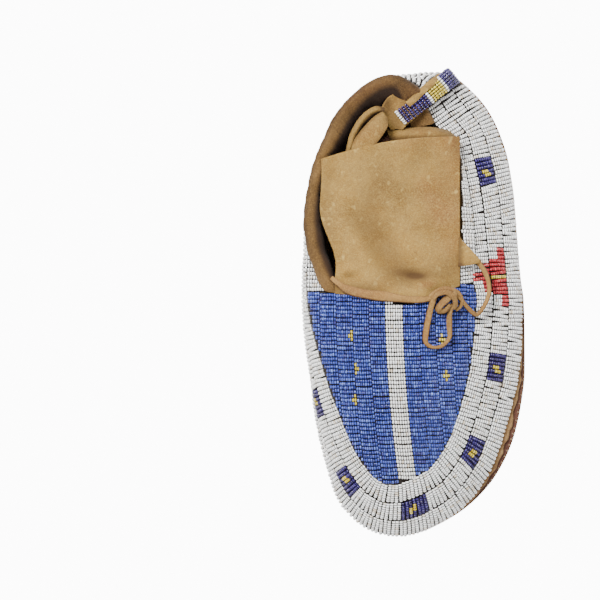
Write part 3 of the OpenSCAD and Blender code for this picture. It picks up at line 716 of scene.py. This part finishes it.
def wall_lane(v0, v1, beads=8):
    """All the rows of one lane round the foot, evenly spaced along its middle."""
    us = np.linspace(LANE_START, LANE_END, 6000)
    line = wall(us, np.full(us.shape, (v0 + v1) / 2))
    step = steps_of(line) / (1 + 0.28 * heel_looseness(us[1:]))
    run_ = np.concatenate([[0], np.cumsum(step)])
    n = int(run_[-1] / PITCH)
    where = (np.arange(n) + 0.5) * run_[-1] / n
    where = where + rng.normal(0, 0.06, n) + 0.25 * np.sin(np.arange(n) * 0.31) * 0.3
    u = np.interp(where, run_, us)
    loose = heel_looseness(u)
    v = np.linspace(v0, v1, beads + 1)[None] \
        + rng.normal(0, 0.004, (n, 1)) * (1 + 2 * loose[:, None])
    tilt = (rng.normal(0, 0.012, (n, 1)) * (1 + 2.5 * loose[:, None])) \
        * np.linspace(-1, 1, beads + 1)
    uu = u[:, None] + tilt
    ends, ups = wall(uu, v), wall_normal(uu, v)
    return strung(ends, ups, {
        "u": u[:, None], "v": (v[:, 1:] + v[:, :-1]) / 2, "j": np.arange(beads)[None],
        "row": np.arange(n)[:, None]})


outer, middle, inner = (wall_lane(*LANES[k]) for k in ("outer", "middle", "inner"))

# Navy blocks of the middle lane, each with a yellow bar across its middle
BLOCKS = [(4, 5), (10, 11), (13, 14), (16, 17), (20, 21), (24, 25)]
navy = np.zeros(len(middle["u"]), bool)
bar = navy.copy()
for a, b in BLOCKS:
    rows_in = np.unique(middle["row"][(middle["u"] > a) & (middle["u"] < b)])
    mid = rows_in[len(rows_in) // 2]
    here = np.abs(middle["row"] - mid) <= 3
    navy |= here
    shift = rng.integers(0, 2)
    bar |= (middle["row"] == mid) & (np.abs(middle["j"] - 3 - shift) < 1.6)
    bar |= (middle["row"] == mid + 1) & (np.abs(middle["j"] - 4 + shift) < 1.6)
navy &= ~bar

# Half diamonds: centre, and how far the steps stretch towards the toe and the heel; per step
# the lane, its height range and its reach each way
MOTIFS = ((7.85, 1, 1), (30.2, 0.46, 0.7))
STEPS = [("middle", 0.345, 0.5, 1.3, 0.85), ("middle", 0.5, 0.66, 0.95, 0.55),
         ("inner", 0.67, 0.83, 0.65, 0.38), ("inner", 0.83, 1.0, 0.1, 0.11)]
red = {"middle": np.zeros(len(middle["u"]), bool), "inner": np.zeros(len(inner["u"]), bool)}
gold = {key: value.copy() for key, value in red.items()}
for centre, to_toe, to_heel in MOTIFS:
    way = 1 if centre < TOE else -1
    for lane_name, lo, hi, front, back in STEPS:
        beads = {"middle": middle, "inner": inner}[lane_name]
        d = (beads["u"] - centre) * way
        here = (d < front * to_toe) & (d > -back * to_heel)
        here &= (beads["v"] > lo) & (beads["v"] < hi)
        stripe = here & (np.abs(d) < 0.11 * to_heel) & (lane_name == "middle")
        red[lane_name] |= here & ~stripe
        gold[lane_name] |= stripe

white_middle = ~(navy | bar | red["middle"] | gold["middle"])
for lane_name, beads in (("lane_outer", outer), ("lane_middle", pick(middle, white_middle)),
                         ("lane_inner", pick(inner, ~(red["inner"] | gold["inner"])))):
    first = beads["u"] < TOE
    bead_piece(lane_name + "_beads_outer_side", pick(beads, first), [lane_name],
               WHITE)
    bead_piece(lane_name + "_beads_inner_side", pick(beads, ~first), [], WHITE)
bead_piece("navy_block_beads", pick(middle, navy), ["navy_blocks"], NAVY)
bead_piece("block_bar_beads", pick(middle, bar), ["block_bars"], YELLOW)
bead_piece("side_motif_beads", joined([pick(middle, red["middle"]), pick(inner, red["inner"])]),
           ["side_motifs"], RED)
bead_piece("side_motif_bar_beads", pick(middle, gold["middle"]),
           ["side_motif_bars"], YELLOW)

# The vamp: a white stripe down the middle and lanes of blue beside it
STRIPE_HALF = 4.2


def stripe_x(y):
    return -11.3 + 7.5 * np.clip((2 - y) / 92, 0, 1) ** 1.8


rim_u = np.linspace(OUTER_CORNER, INNER_CORNER, 400)
RIM = top_of(rim_u)[:, :2]
FIELD = np.concatenate([RIM, [[-52, 8.0], [-30, 5.4], THROAT, [27, 11.6]]])


def inside(p, poly):
    """Whether plan points lie in a closed outline."""
    x, y = p[:, 0], p[:, 1]
    hit = np.zeros(len(p), bool)
    for a, b in zip(poly, np.roll(poly, -1, 0)):
        crosses = (a[1] > y) != (b[1] > y)
        at_x = a[0] + (y - a[1]) * (b[0] - a[0]) / (b[1] - a[1] + 1e-12)
        hit ^= crosses & (x < at_x)
    return hit


def gap_to(p, line):
    return np.min(np.linalg.norm(p[:, None] - line[None], axis=2), axis=1)


def vamp_lane(offset, width, beads, side, first_y=11.5, last_y=-90.0):
    """Rows of one lane of the vamp, offset mm out from the stripe's middle."""
    n = int((first_y - last_y) / PITCH)
    y = first_y - (np.arange(n) + rng.random()) * PITCH + rng.normal(0, 0.1, n)
    a = offset + np.linspace(0, width, beads + 1)
    x = stripe_x(y)[:, None] + side * a[None]
    yy = y[:, None] + rng.normal(0, 0.03, (n, 1)) * np.linspace(-1, 1, beads + 1)[None]
    ends = np.stack([x, yy, dome(x, yy)], -1)
    keys = {"j": np.arange(beads)[None], "row": np.arange(n)[:, None]}
    return strung(ends, dome_normal(x, yy), keys, arch=0.75)


CROSSES = [(-32.8, -15.4), (-30.9, -32.3), (-30.3, -47.5), (14.2, -17.2), (16.1, -35.4)]
crosses = []
for side, node_name in ((-1, "vamp_field_inner_side"), (1, "vamp_field_outer_side")):
    parts = []
    for k in range(5):
        lane = vamp_lane(STRIPE_HALF + 0.4 + 8.15 * k, 7.75, 7, side)
        lane["row"] = lane["row"] + 1000 * k
        parts.append(lane)
    field = joined(parts)
    plan = field["at"][:, :2]
    keep = inside(plan, FIELD) | (gap_to(plan, RIM) < 0.5)
    field = pick(field, keep)
    plan = field["at"][:, :2]
    yellow = np.zeros(len(plan), bool)
    for c in CROSSES:
        near = np.argmin(np.linalg.norm(plan - np.array(c), axis=1))
        if np.linalg.norm(plan[near] - c) > 3:
            continue
        dx = np.abs(plan[:, 0] - plan[near, 0])
        yellow |= (field["row"] == field["row"][near]) & (dx < 1.7)
        for step_ in (-1, 1):
            beside = field["row"] == field["row"][near] + step_
            yellow[np.argmin(np.where(beside, dx, 99))] = True
    crosses.append(pick(field, yellow))
    bead_piece(node_name + "_beads", pick(field, ~yellow), [node_name], BLUE)
bead_piece("vamp_cross_beads", joined(crosses), [], YELLOW)

stripe = vamp_lane(-STRIPE_HALF, 2 * STRIPE_HALF, 7, 1, first_y=2.2)
plan = stripe["at"][:, :2]
stripe = pick(stripe, inside(plan, FIELD) | (gap_to(plan, RIM) < 0.5))
bead_piece("vamp_stripe_beads", stripe, ["vamp_stripe"], WHITE)


# The heel lane: rows across a path up the heel seam and on over the tab
HEEL_PATH = [[19.6, 118.4, 8], [17.8, 117.2, 16], [13.4, 113.2, 24], [8, 108.6, 29.5],
             [3, 104.4, 32.6], [-2.4, 100.2, 34.6], [-8.4, 95.8, 35.4]]
HEEL_PITCH = 2.0
HEEL_SIDE = unit(np.array([[0.62, -0.76, 0.0]]))
HEEL_BANDS = [(0.34, "navy"), (0.38, "white"), (0.60, "yellow"), (0.64, "white"),
              (0.94, "navy"), (1.01, "white")]


def heel_ends(share, beads):
    """Where the beads of each row start and end across the heel path."""
    mid = along_curve(HEEL_PATH, share)
    half = mix(4.6, 3.4, soft(share / 0.6))[:, None, None]
    w = np.linspace(-1, 1, beads + 1)[None, :, None]
    tip = np.stack([0 * share, 0 * share, mix(-2.6, -1.2, share)], -1)[:, None]
    return mid[:, None] + w * half * HEEL_SIDE[None] + tip * w ** 2 + [0, 0, 1.1]


def heel_ups(share, beads):
    ahead, behind = heel_ends(share + 0.01, beads), heel_ends(share - 0.01, beads)
    along = ahead - behind
    across = np.gradient(heel_ends(share, beads), axis=1)
    up = unit(np.cross(along, across))
    return up * np.sign(up[..., 2:3] + 0.01)


heel_rows = int(length_of(spline(HEEL_PATH)) / HEEL_PITCH)
share = (np.arange(heel_rows) + 0.5) / heel_rows
heel = strung(heel_ends(share, 7), heel_ups(share, 7), {"share": share[:, None]}, arch=0.3)
band = np.array([next(c for limit, c in HEEL_BANDS if v < limit) for v in heel["share"]])
for colour, slot_name, material, nodes in (
        ("navy", "navy_beads", NAVY, ["heel_lane"]), ("white", "white_beads", WHITE, []),
        ("yellow", "yellow_beads", YELLOW, [])):
    bead_piece("heel_lane_" + colour + "_beads", pick(heel, band == colour), nodes,
               material)


# The outer cuff's curves, from the wall's top over into the opening
OUTER_CUFF = [
    [[20, 88.4, 24.6], [24, 73, 23.6], [26.4, 58, 23.4], [28.6, 40, 23.4], [29.6, 24, 23.6]],
    [[16, 90, 29], [19, 76, 28.4], [20, 58, 27.4], [21, 40, 27], [22, 24, 27]],
    [[7, 91.4, 33], [9, 78, 31.4], [12, 60, 29], [13.4, 42, 28.4], [14, 26, 28]],
    [[-6, 90.8, 35.6], [-4, 80, 33.4], [2, 64, 30], [8, 46, 28.4], [11, 27, 27.4]],
    [[-15, 90.4, 36.4], [-12, 82, 34], [-5, 68, 30], [4, 48, 28], [9, 28, 27]]]


def rim_rows():
    """White rows that go on over the outer rim, as far as the tongue's edge."""
    n = 34
    share = (np.arange(n) + 0.5) / n
    near = along_curve(OUTER_CUFF[0], share)
    far = along_curve(OUTER_CUFF[1], share)
    w = np.linspace(-0.12, 0.98, 7)[None, :, None]
    ends = mix(near[:, None], far[:, None], w) + rng.normal(0, 0.12, (n, 1, 3))
    ends[..., 2] += 0.35 + 0.9 * np.sin(np.pi * w[..., 0])
    up = np.broadcast_to(unit(np.array([0.35, 0, 1.0])), ends.shape)
    beads = strung(ends, up, {}, arch=0.3)
    return pick(beads, beads["at"][:, 0] > 24.1)


# White rows on the two corners of the throat, beside the wall's inner lane
def inner_near(y):
    return np.interp(y, [7, 28, 52], [-54.6, -54.2, -52.8])


def inner_far(y):
    return np.interp(y, [7, 12.2, 20.6, 31.7], [-45.4, -48, -51.4, -54.0])


def outer_far(y):
    return 30.4 - 0.08 * (y - 11.5)


OUTER_DROP = 0.8  # how far the outer corner lies below the vamp's dome


def corner_row(x, y, drop, arch):
    ends = np.stack([x, y, dome(x, y) - drop], -1)
    return strung(ends, dome_normal(x, y), {}, arch=arch)


def corner_patch():
    parts = []
    for y0 in np.arange(8.6, 27, PITCH):
        near, far = float(inner_near(y0)), float(inner_far(y0))
        x = np.linspace(near, far, max(1, int(round((far - near) / 1.22))) + 1)[None]
        parts.append(corner_row(x, np.full(x.shape, y0) + rng.normal(0, 0.1), 0, 0.3))
    for y0 in np.arange(12.6, 21, PITCH):
        x = np.linspace(22.4, outer_far(y0) - 0.2, 7)[None]
        y = np.full(x.shape, y0) + np.linspace(-0.5, 0.5, 7)[None]
        parts.append(corner_row(x, y, OUTER_DROP, 0.4))
    return joined(parts + [rim_rows()])


bead_piece("throat_corner_beads", corner_patch(), [], WHITE)


# -------- the hide upper
def upper_wall(a, b):
    return wall(a * COUNT, b)


def upper_vamp(a, b):
    u = mix(OUTER_CORNER, INNER_CORNER, a)
    p = mix(top_of(u)[:, :2], spine(u), b[:, None])
    return np.stack([p[:, 0], p[:, 1], dome(p[:, 0], p[:, 1])], -1)


def corner_hide(low, high, near, far, drop=0):
    """The hide under the white rows of a throat corner, from y low to y high."""
    def place(a, b):
        y = mix(low, high, b)
        x = mix(near(y), far(y), a)
        return np.stack([x, y, dome(x, y) - drop], -1)
    return place


PER = 6
upper = laid("upper_hide", COUNT * PER, 14, upper_wall, flip=True)
vamp = laid("vamp_hide", (INNER_CORNER - OUTER_CORNER) * PER, 10, upper_vamp, flip=True)
corners = [
    laid("corner_hide", 8, 12, corner_hide(6.5, 30, lambda y: inner_near(y) - 0.4,
                                           lambda y: inner_far(y) + 0.6)),
    laid("corner_hide_2", 6, 8, corner_hide(10.5, 21.5, lambda y: 22.0, outer_far, OUTER_DROP))]
join(upper, vamp, *corners)
merged(upper, 0.05)
outwards(upper)
thicken(upper, HIDE_T, edge=0)
# painted shade: the whole upper is darkened by 0.8 towards its dark colour, for the shadow between
# the beads
tag(upper, "shade", np.full(len(upper.data.vertices), 0.8))
finish_piece(upper, ["upper"], SHADED_UPPER_HIDE)

# -------- sole, welt, stitches
def sole_outline(per=8):
    u = np.arange(COUNT * per) / per
    return (foot_of(u) + outward(u) * np.maximum(row(u)[:, 6], 0)[:, None])[:, :2]


def slab(name, edge, low, high, round_by):
    """A flat plate with this outline, with rounded edges."""
    alone()
    bpy.ops.mesh.primitive_circle_add(vertices=len(edge), radius=1, fill_type="NGON")
    obj = bpy.context.object
    obj.name = obj.data.name = name
    co = places(obj)
    angle = np.arctan2(co[:, 1], co[:, 0])
    start = np.arctan2(edge[:, 1], edge[:, 0])
    order = np.argsort(angle)
    shift = np.argmin(start)
    co[order, :2] = np.roll(edge, -shift, 0) if np.sum(np.diff(np.unwrap(start))) > 0 \
        else np.roll(edge[::-1], -(len(edge) - 1 - shift), 0)
    co[:, 2] = low
    set_places(obj, co * MM)

    def raise_it():
        bpy.ops.mesh.extrude_region_move(
            TRANSFORM_OT_translate={"value": (0, 0, (high - low) * MM)})
    in_edit(obj, "SELECT", raise_it)
    outwards(obj)
    apply(obj, "BEVEL", width=round_by * MM, segments=3, limit_method="ANGLE", angle_limit=1.0)
    alone(obj)
    bpy.ops.object.shade_smooth_by_angle(angle=0.7)
    return obj


sole = slab("rawhide_sole", sole_outline(), 0, SOLE_T, 0.9)
finish_piece(sole, ["sole"], RAWHIDE)


def welt_place(a, b):
    u = a * COUNT
    ragged = 0.52 + 0.10 * np.sin(u * 19) * np.sin(u * 7.3 + 1) + 0.06 * np.sin(u * 43)
    margin = np.maximum(row(u)[:, 6] * ragged, 0.05)
    w = 2 * np.pi * b
    x = mix(-3, margin, (1 + np.sign(np.cos(w)) * np.abs(np.cos(w)) ** 0.5) / 2)
    z = SOLE_T + 1 + np.sign(np.sin(w)) * np.abs(np.sin(w)) ** 0.6
    p = foot_of(u) + outward(u) * x[:, None]
    p[:, 2] = z + 0.08 * np.sin(u * 31) * (np.sin(w) > 0)
    return p


welt = laid("welt_strip", COUNT * 6, 12, welt_place)
merged(welt, 0.004)
outwards(welt)
smooth(welt)
co = places(welt) / MM
tag(welt, "shade", 0.5 * soft(0.5 + 0.5 * np.sin(co[:, 1] * 1.9 + np.sin(co[:, 0] * 0.9)))
    * soft((5.6 - co[:, 2]) / 1.2))
finish_piece(welt, ["welt"], WELT_HIDE)

# Sinew stitches over the sole's edge, where it stands out past the welt
STITCH_W = 0.75


def stitch(u):
    """One stitch, out of the sole by the welt and down over its edge."""
    d = outward(u)
    side = np.array([-d[1], d[0], 0])
    start = foot_of(u) + d * (row(u)[6] * 0.72 + 0.1)
    reach = row(u)[6] * 0.28 - 0.15
    tilt = rng.normal(0, 0.3)

    def place(a, b):
        w = 2 * np.pi * a
        arc = np.sin(np.pi * b)
        core = start + d * (reach * b)[:, None] + side * (tilt * (b - 0.5))[:, None]
        thick = STITCH_W / 2 * (0.75 + 0.25 * arc)
        p = core + side * (np.cos(w) * thick)[:, None]
        p[:, 2] = SOLE_T - 0.1 + 0.35 * arc + np.sin(w) * 0.28
        return p
    return laid("stitch", 10, 6, place)


stitches = [stitch(u) for u in np.linspace(9.6, 14.3, 24)]
join(*stitches)
sole_stitches = stitches[0]
sole_stitches.name = "sinew_stitches"
merged(sole_stitches, 0.01)
closed(sole_stitches)
finish_piece(sole_stitches, ["sole_stitches"], SINEW)

# -------- tongue
LOOSE_T = 1.3
FOLD_Y = 15
ROOT_SHARE = 0.12  # the share of the tongue's length from the throat up to the fold


def tongue_left(t):
    return -41 - 7.5 * soft((t - 0.05) / 0.55)


def tongue_sheet(a, b):
    """The tongue from the throat's edge, over the fold and back: a across, b along."""
    s, t = a, (b - ROOT_SHARE) / (1 - ROOT_SHARE)
    down = np.clip(-t / 0.136, 0, 1)
    back = 75 + 12 * s + 3.2 * np.sin(np.pi * s)
    x = mix(tongue_left(t), 22.8, s)
    x = x + (0.5 * np.sin(9 * t) * (1 - s))
    y = mix(FOLD_Y + 0.5, back, np.maximum(t, 0))
    z = mix(42 + 9 * s - 19.5 * s ** 2, 50 + s - 22 * s ** 2, np.maximum(t, 0))
    z = z - 3 * np.sin(np.pi * np.clip(t, 0, 1)) * np.sin(np.pi * s)
    front = np.where(x < THROAT[0], mix(THROAT[1], 7.2, (THROAT[0] - x) / 50),
                     mix(THROAT[1], 11.5, (x - THROAT[0]) / 33.5))
    y = mix(y, front + 0.9, down)
    z = mix(z, dome(x, front) + 1.1, soft(down))
    # Soft waves, a trough up the middle, a hollow by the fold, and a pucker at its inner end
    z = z + 0.5 * np.sin(x * 0.13 + 1) * np.sin(y * 0.09) + 0.25 * np.sin(x * 0.31 - y * 0.12)
    z = z - 2.6 * hump(x + 0.62 * y, 0.5, 12) * soft((58 - y) / 26) * soft((y - 6) / 14)
    z = z + 2.0 * hump(x + 0.5 * y, -17, 12) * hump(y, 27, 22)
    z = z + 0.5 * np.sin(0.21 * x + 0.17 * y + 2) * soft((y - 14) / 10)
    z = z - 1.8 * hump(x, -2, 14) * hump(y, 14.4, 6) + 1.4 * hump(x, 6, 7) * hump(y, 10.6, 3.4)
    z = z - 1.0 * hump(x, -36, 7) * hump(y, 14, 4) + 0.8 * hump(x, -33, 6) * hump(y, 19, 4)
    return np.stack([x, y, z], -1)


tongue = laid("tongue_hide", 96, 110, tongue_sheet)
thicken(tongue, LOOSE_T, offset=0)
x, y, _ = (places(tongue) / MM).T
# shade on the tongue: painted shade in its trough, the hollow by the fold, the pucker and along the
# front and left edge, and some darker patches on its face
dark = (0.5 * hump(x + 0.62 * y, 2.5, 15) * soft((56 - y) / 20) * soft((y - 12) / 6)
        + 0.3 * hump(x, -22.7, 12) * hump(y, 53, 17) + 0.24 * hump(x, -17, 11) * hump(y, 66, 12)
        + 0.5 * hump(x, -3, 24) * hump(y, 14.0, 8) + 0.45 * hump(x, 1, 8) * hump(y, 15, 3)
        + 0.6 * hump(y, 8, 8) * soft((-x - 6) / 20) + 0.4 * hump(x, -34, 5) * hump(y, 15.5, 3)
        + 0.3 * soft((y - 12) / 5) * soft((x + 14) / 20) * soft((32 - y) / 18)
        + 0.3 * soft((x - 16) / 7) * soft((y - 66) / 16) + 0.22 * soft((-38 - x) / 8)
        + 0.4 * soft((6 - y) / 4))
tag(tongue, "shade", np.clip(dark, 0, 1))
warm = (0.9 * hump(x, 6.9, 11) * hump(y, 60, 11) + 0.9 * hump(x, 12, 11) * hump(y, 48, 13)
        + 0.75 * soft((x - 6) / 18) * soft((y - 12) / 20) + 1.3 * hump(x, 6, 7) * hump(y, 11, 3)
        + 0.4 * soft((y - 76) / 8) * soft((x + 20) / 20))
tag(tongue, "warm", np.clip(warm, 0, 1))
finish_piece(tongue, ["tongue", "tongue_root"], BUCKSKIN, body=None)
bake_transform(tongue)

# -------- ankle cuffs
def waves(size, *terms):
    """A ripple for lofted(): small waves in z and x from (x factor, y factor, phase)."""
    def ripple(a, b, p):
        d = sum(np.sin(kx * p[:, 0] + ky * p[:, 1] + ph) for kx, ky, ph in terms)
        return np.stack([0.5 * d, 0.2 * d, d], -1) * size
    return ripple


def loose_hide(name, curves, across, along, ripple=None, thickness=LOOSE_T):
    """A hide lofted through curves and thickened, with its points' x, y and z in mm."""
    obj = lofted(name, curves, across, along, ripple)
    thicken(obj, thickness, offset=0)
    return obj, *(places(obj) / MM).T


# The inner side and heel: rim on the wall's top, crest, inner slope and the edge inside
INNER_CUFF = [
    [[-46.6, 8.6, 38.6], [-49, 14, 38], [-52.6, 24, 36.4], [-54.6, 35, 35], [-54.8, 48, 35],
     [-51.6, 66, 35], [-45.6, 83, 35], [-36.4, 99.5, 35], [-23.4, 111, 35], [-11, 115.3, 35],
     [-0.5, 112.6, 34.5], [3.4, 108, 31], [6, 101, 28.6], [9.4, 94, 26.4]],
    [[-46.2, 8.0, 40.4], [-49.4, 14, 41], [-53, 23, 42.4], [-55.8, 34, 43.6], [-56.4, 48, 45],
     [-53, 68, 47], [-47.6, 83, 48], [-38.8, 99.8, 49], [-24.8, 113, 48], [-12, 117.4, 46],
     [-0.8, 112.8, 39], [2.8, 107.4, 33], [5, 100.4, 30], [8.2, 93.4, 28]],
    [[-43.6, 7.2, 41.4], [-46, 14, 43], [-49.4, 23, 44], [-51.8, 34, 45], [-52.4, 48, 46],
     [-49.4, 67, 47.6], [-43.6, 81, 48], [-34.6, 95.6, 47], [-23.4, 106.6, 44.6],
     [-12, 111.4, 42.6], [-2.4, 109.8, 37.6], [0.8, 105, 32], [2.6, 98.8, 29.6], [5, 92.6, 28]],
    [[-41.2, 7.2, 41], [-42.2, 13.4, 42.4], [-45.4, 23, 42.6], [-48.2, 34, 42], [-49.2, 48, 42],
     [-46.4, 66, 42], [-40.6, 78, 41], [-31.6, 91, 39], [-22, 101.6, 37.6],
     [-12, 106.4, 37.6], [-4, 106.4, 35], [-1.6, 102.4, 31], [-0.4, 97.2, 29], [1.4, 92, 27.4]],
    [[-40, 8.4, 39], [-41, 14, 38], [-44.2, 23, 36], [-47, 34, 33], [-48, 48, 31],
     [-45, 65, 30], [-38.6, 76, 29], [-29.6, 87.6, 28], [-20, 97, 28], [-11, 101.4, 31],
     [-5.4, 102, 31.6], [-4, 98.6, 29.4], [-3, 95, 28], [-2, 91.6, 26.8]]]
inner_cuff, x, y, z = loose_hide("inner_cuff_hide", INNER_CUFF, 44, 170,
                                  waves(0.28, (0.55, 0.23, 0), (0.2, -0.41, 1), (0.9, 0.7, 2)))
crest = spline(INNER_CUFF[1])[:, :2]
inward = gap_to(np.stack([x, y], -1), crest)
lit = mix(3.2, 5.0, hump(y, 92, 24))
lit = lit + 4.0 * soft((16 - y) / 12) + 9 * soft((x + 10) / 8)
deep = soft((inward - lit) / 3.6) * 0.97
outside = (0.55 * soft((1.9 - inward) / 1.6) * soft((y - 22) / 14)
           * soft((z - 36) / 3))
tag(inner_cuff, "shade", np.clip(deep + outside + 0.2 * hump(y, 96, 22), 0, 1))
tag(inner_cuff, "warm", 0.7 * hump(y, 108, 14) + 0.25)
finish_piece(inner_cuff, ["cuff_flap", "cuff_heel"], NAPPED, body=None)
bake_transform(inner_cuff)

# The cuff's loose tail: a second layer with its cut edge up, and a leaf folded over beside it
TAIL_LAYER = [
    [[-37, 74, 40], [-35.2, 79.6, 44.6], [-33.2, 87.4, 46.6], [-29.6, 94.2, 47], [-25.2, 99, 46.6],
     [-20.4, 101.6, 45], [-16, 101, 42]],
    [[-36, 73.6, 40.4], [-34, 79, 45.4], [-31.8, 86.8, 47.6], [-28.3, 93.2, 48], [-24.2, 97.8, 47.6],
     [-20, 100, 46], [-16.4, 99.6, 42.6]],
    [[-35.2, 73, 36], [-33.4, 78.6, 40], [-31, 86, 42], [-27.6, 92.2, 42.4], [-23.6, 96.4, 42],
     [-19.6, 98.4, 40.4], [-16.4, 98.2, 39]]]
tail_layer, x, y, z = loose_hide("cuff_tail_layer", TAIL_LAYER, 14, 60, waves(0.12, (0.6, 0.5, 0)))
tag(tail_layer, "shade", np.clip(0.3 + soft((46.6 - z) / 3), 0, 0.95))
finish_piece(tail_layer, [], BUCKSKIN)

LEAF = [
    [[-35, 74, 43.4], [-33.4, 80.4, 45.6], [-30, 86.4, 46], [-25.2, 92.4, 46], [-20.4, 97, 45.4],
     [-17, 99, 44]],
    [[-31, 74, 44.6], [-28.6, 79.6, 47.2], [-26, 85, 48], [-22.4, 90.6, 47.8], [-18.6, 95, 46.4],
     [-16.2, 97.6, 44.2]],
    [[-25, 74, 43.6], [-22.4, 79.6, 45.6], [-19.6, 83.8, 46.4], [-16.2, 88.4, 46], [-14.2, 92, 45],
     [-14.8, 95.6, 43.6]]]
leaf, x, y, z = loose_hide("cuff_tail_leaf", LEAF, 24, 44,
                            waves(0.18, (0.3, 0.5, 1), (0.8, -0.3, 0)))
edge_line = np.concatenate([spline(LEAF[0])[:, :2], spline(LEAF[-1])[:, :2]])
tag(leaf, "shade", 0.4 * soft((1.6 - gap_to(np.stack([x, y], -1), edge_line)) / 1.6) + 0.22)
tag(leaf, "warm", 0.5 * hump(y, 88, 8))
finish_piece(leaf, [], BUCKSKIN)

# The tab at the heel, which the heel lane runs along, laid over into the opening
HEEL_TAB = [
    [[9.6, 106, 29.8], [4.6, 100.2, 32.8], [0, 96.4, 34], [-4.4, 92.6, 34.4], [-6.6, 90.4, 34]],
    [[5, 109, 30.6], [-0.4, 104.4, 33.2], [-5.4, 99.4, 34.8], [-8.6, 95, 35], [-9.4, 90.8, 34.4]],
    [[0.6, 111.6, 33], [-5, 108.4, 35.6], [-10.4, 104.6, 37], [-13.6, 98.4, 37], [-12.6, 90.6, 35]],
    [[-3, 112.4, 36], [-10.4, 109.4, 39], [-15.4, 104.6, 40.4], [-16.8, 99.6, 40],
     [-14.4, 93.4, 37]]]
heel_tab, x, y, z = loose_hide("heel_tab_hide", HEEL_TAB, 24, 44, waves(0.15, (0.4, 0.6, 0)),
                                thickness=HIDE_T)
tag(heel_tab, "shade", 0.16 + 0.5 * hump(x + 0.5 * y, 37, 5))
tag(heel_tab, "warm", 0.5 * hump(y, 104, 8))
finish_piece(heel_tab, ["heel_tab"], BUCKSKIN)

# The strip beside the heel seam
SEAM_STRIP = [
    [[13.4, 119.8, 8], [12, 119.2, 18], [8.6, 116.6, 26], [3.4, 112.2, 32.2], [-1.4, 107.6, 36.2],
     [-5, 104.2, 37.6]],
    [[14.8, 119, 8.4], [13.4, 118.4, 18.6], [10, 115.6, 27], [4.8, 111.2, 33.2],
     [-0.2, 106.4, 37], [-4, 103, 38]],
    [[16.2, 118.2, 8], [14.8, 117.6, 18], [11.4, 114.6, 26.4], [6.2, 110.2, 32.4],
     [1, 105.2, 36.2], [-3, 101.8, 37.4]]]
seam_strip, x, y, z = loose_hide("heel_seam_strip", SEAM_STRIP, 8, 40, thickness=1.0)
tag(seam_strip, "shade", 0.3 * soft(0.5 + 0.5 * np.sin(y * 1.3)))
finish_piece(seam_strip, ["heel_seam_welt"], BUCKSKIN)

# The outer cuff: from the wall's top over into the opening, its rolled end behind the tongue


def rolled_end(a, b, p):
    """The cuff's rear end rolls down into the opening."""
    roll = np.clip(1 - b / 0.10, 0, 1)
    rise = 0.9 * np.sin(np.pi * np.clip(roll * 1.3, 0, 1)) - 5 * roll ** 3
    return np.stack([0 * a, 0.8 * np.sin(np.pi * roll), rise], -1)


outer_cuff, x, y, z = loose_hide("outer_cuff_hide", OUTER_CUFF, 40, 70, rolled_end)
tag(outer_cuff, "shade", np.clip(0.3 + 0.6 * soft((88 - y) / 2.5)
                                 + 0.3 * soft((x - 8) / 8), 0, 0.95))
tag(outer_cuff, "warm", 0.5 * hump(x, 4, 14))
finish_piece(outer_cuff, ["cuff_outer_side"], BUCKSKIN)

# The tab that the thong comes out of, at the tongue's outer edge
LACE_TAB = [
    [[22.2, 36.4, 31], [25, 32.8, 31.2], [28.4, 29.2, 30.8], [31, 26.2, 30], [33.2, 23.8, 29]],
    [[22.2, 28, 31.6], [25, 26.8, 31.6], [28.2, 25, 31], [30.8, 23.8, 30.2], [33, 22.9, 29.2]],
    [[22.2, 20.2, 32], [25, 20.6, 31.8], [28.2, 21, 31], [30.6, 21.6, 30], [32.8, 22.1, 28.9]]]
lace_tab, x, y, z = loose_hide("lace_tab_hide", LACE_TAB, 16, 26, waves(0.12, (0.5, 0.3, 0)))
under_tongue = 0.8 * soft((26.4 - x) / 3.6) + 0.4 * soft((23 - y) / 2)
tag(lace_tab, "shade", np.clip(under_tongue, 0, 1))
finish_piece(lace_tab, ["lace_tab"], BUCKSKIN)

# -------- floor and light
alone()
bpy.ops.mesh.primitive_plane_add(size=6, location=(0, 0, 0))
floor = bpy.context.object
floor.name = "floor"
floor_mat, tree, s = principled("floor_paper")
set_shader(tree, s, Base_Color=(0.95, 0.95, 0.95, 1), Roughness=0.9)
glow = node(tree, "Emission", Color=(1, 1, 1, 1), Strength=12.0)
path = node(tree, "LightPath")
seen = node(tree, "MixShader")
tree.links.new(path.outputs["Is Camera Ray"], seen.inputs[0])
tree.links.new(s.outputs[0], seen.inputs[1])
tree.links.new(glow.outputs[0], seen.inputs[2])
tree.links.new(seen.outputs[0], tree.nodes["Material Output"].inputs["Surface"])
floor.data.materials.append(floor_mat)

world = bpy.data.worlds.new("studio")
world.use_nodes = True
set_shader(world.node_tree, world.node_tree.nodes["Background"], Color=(1, 1, 1, 1),
           Strength=0.8)
bpy.context.scene.world = world


def lamp(name, place, target, size, power):
    data = bpy.data.lights.new(name, "AREA")
    data.size, data.energy = size, power
    obj = bpy.data.objects.new(name, data)
    bpy.context.scene.collection.objects.link(obj)
    obj.location = place
    obj.rotation_euler = (Vector(target) - Vector(place)).to_track_quat("-Z", "Y").to_euler()


lamp("key_light", (-0.5, 0.6, 1.2), (0, 0, 0), 0.45, 46)
lamp("fill_light", (0.8, -0.4, 1.1), (0, 0, 0), 1.0, 7)
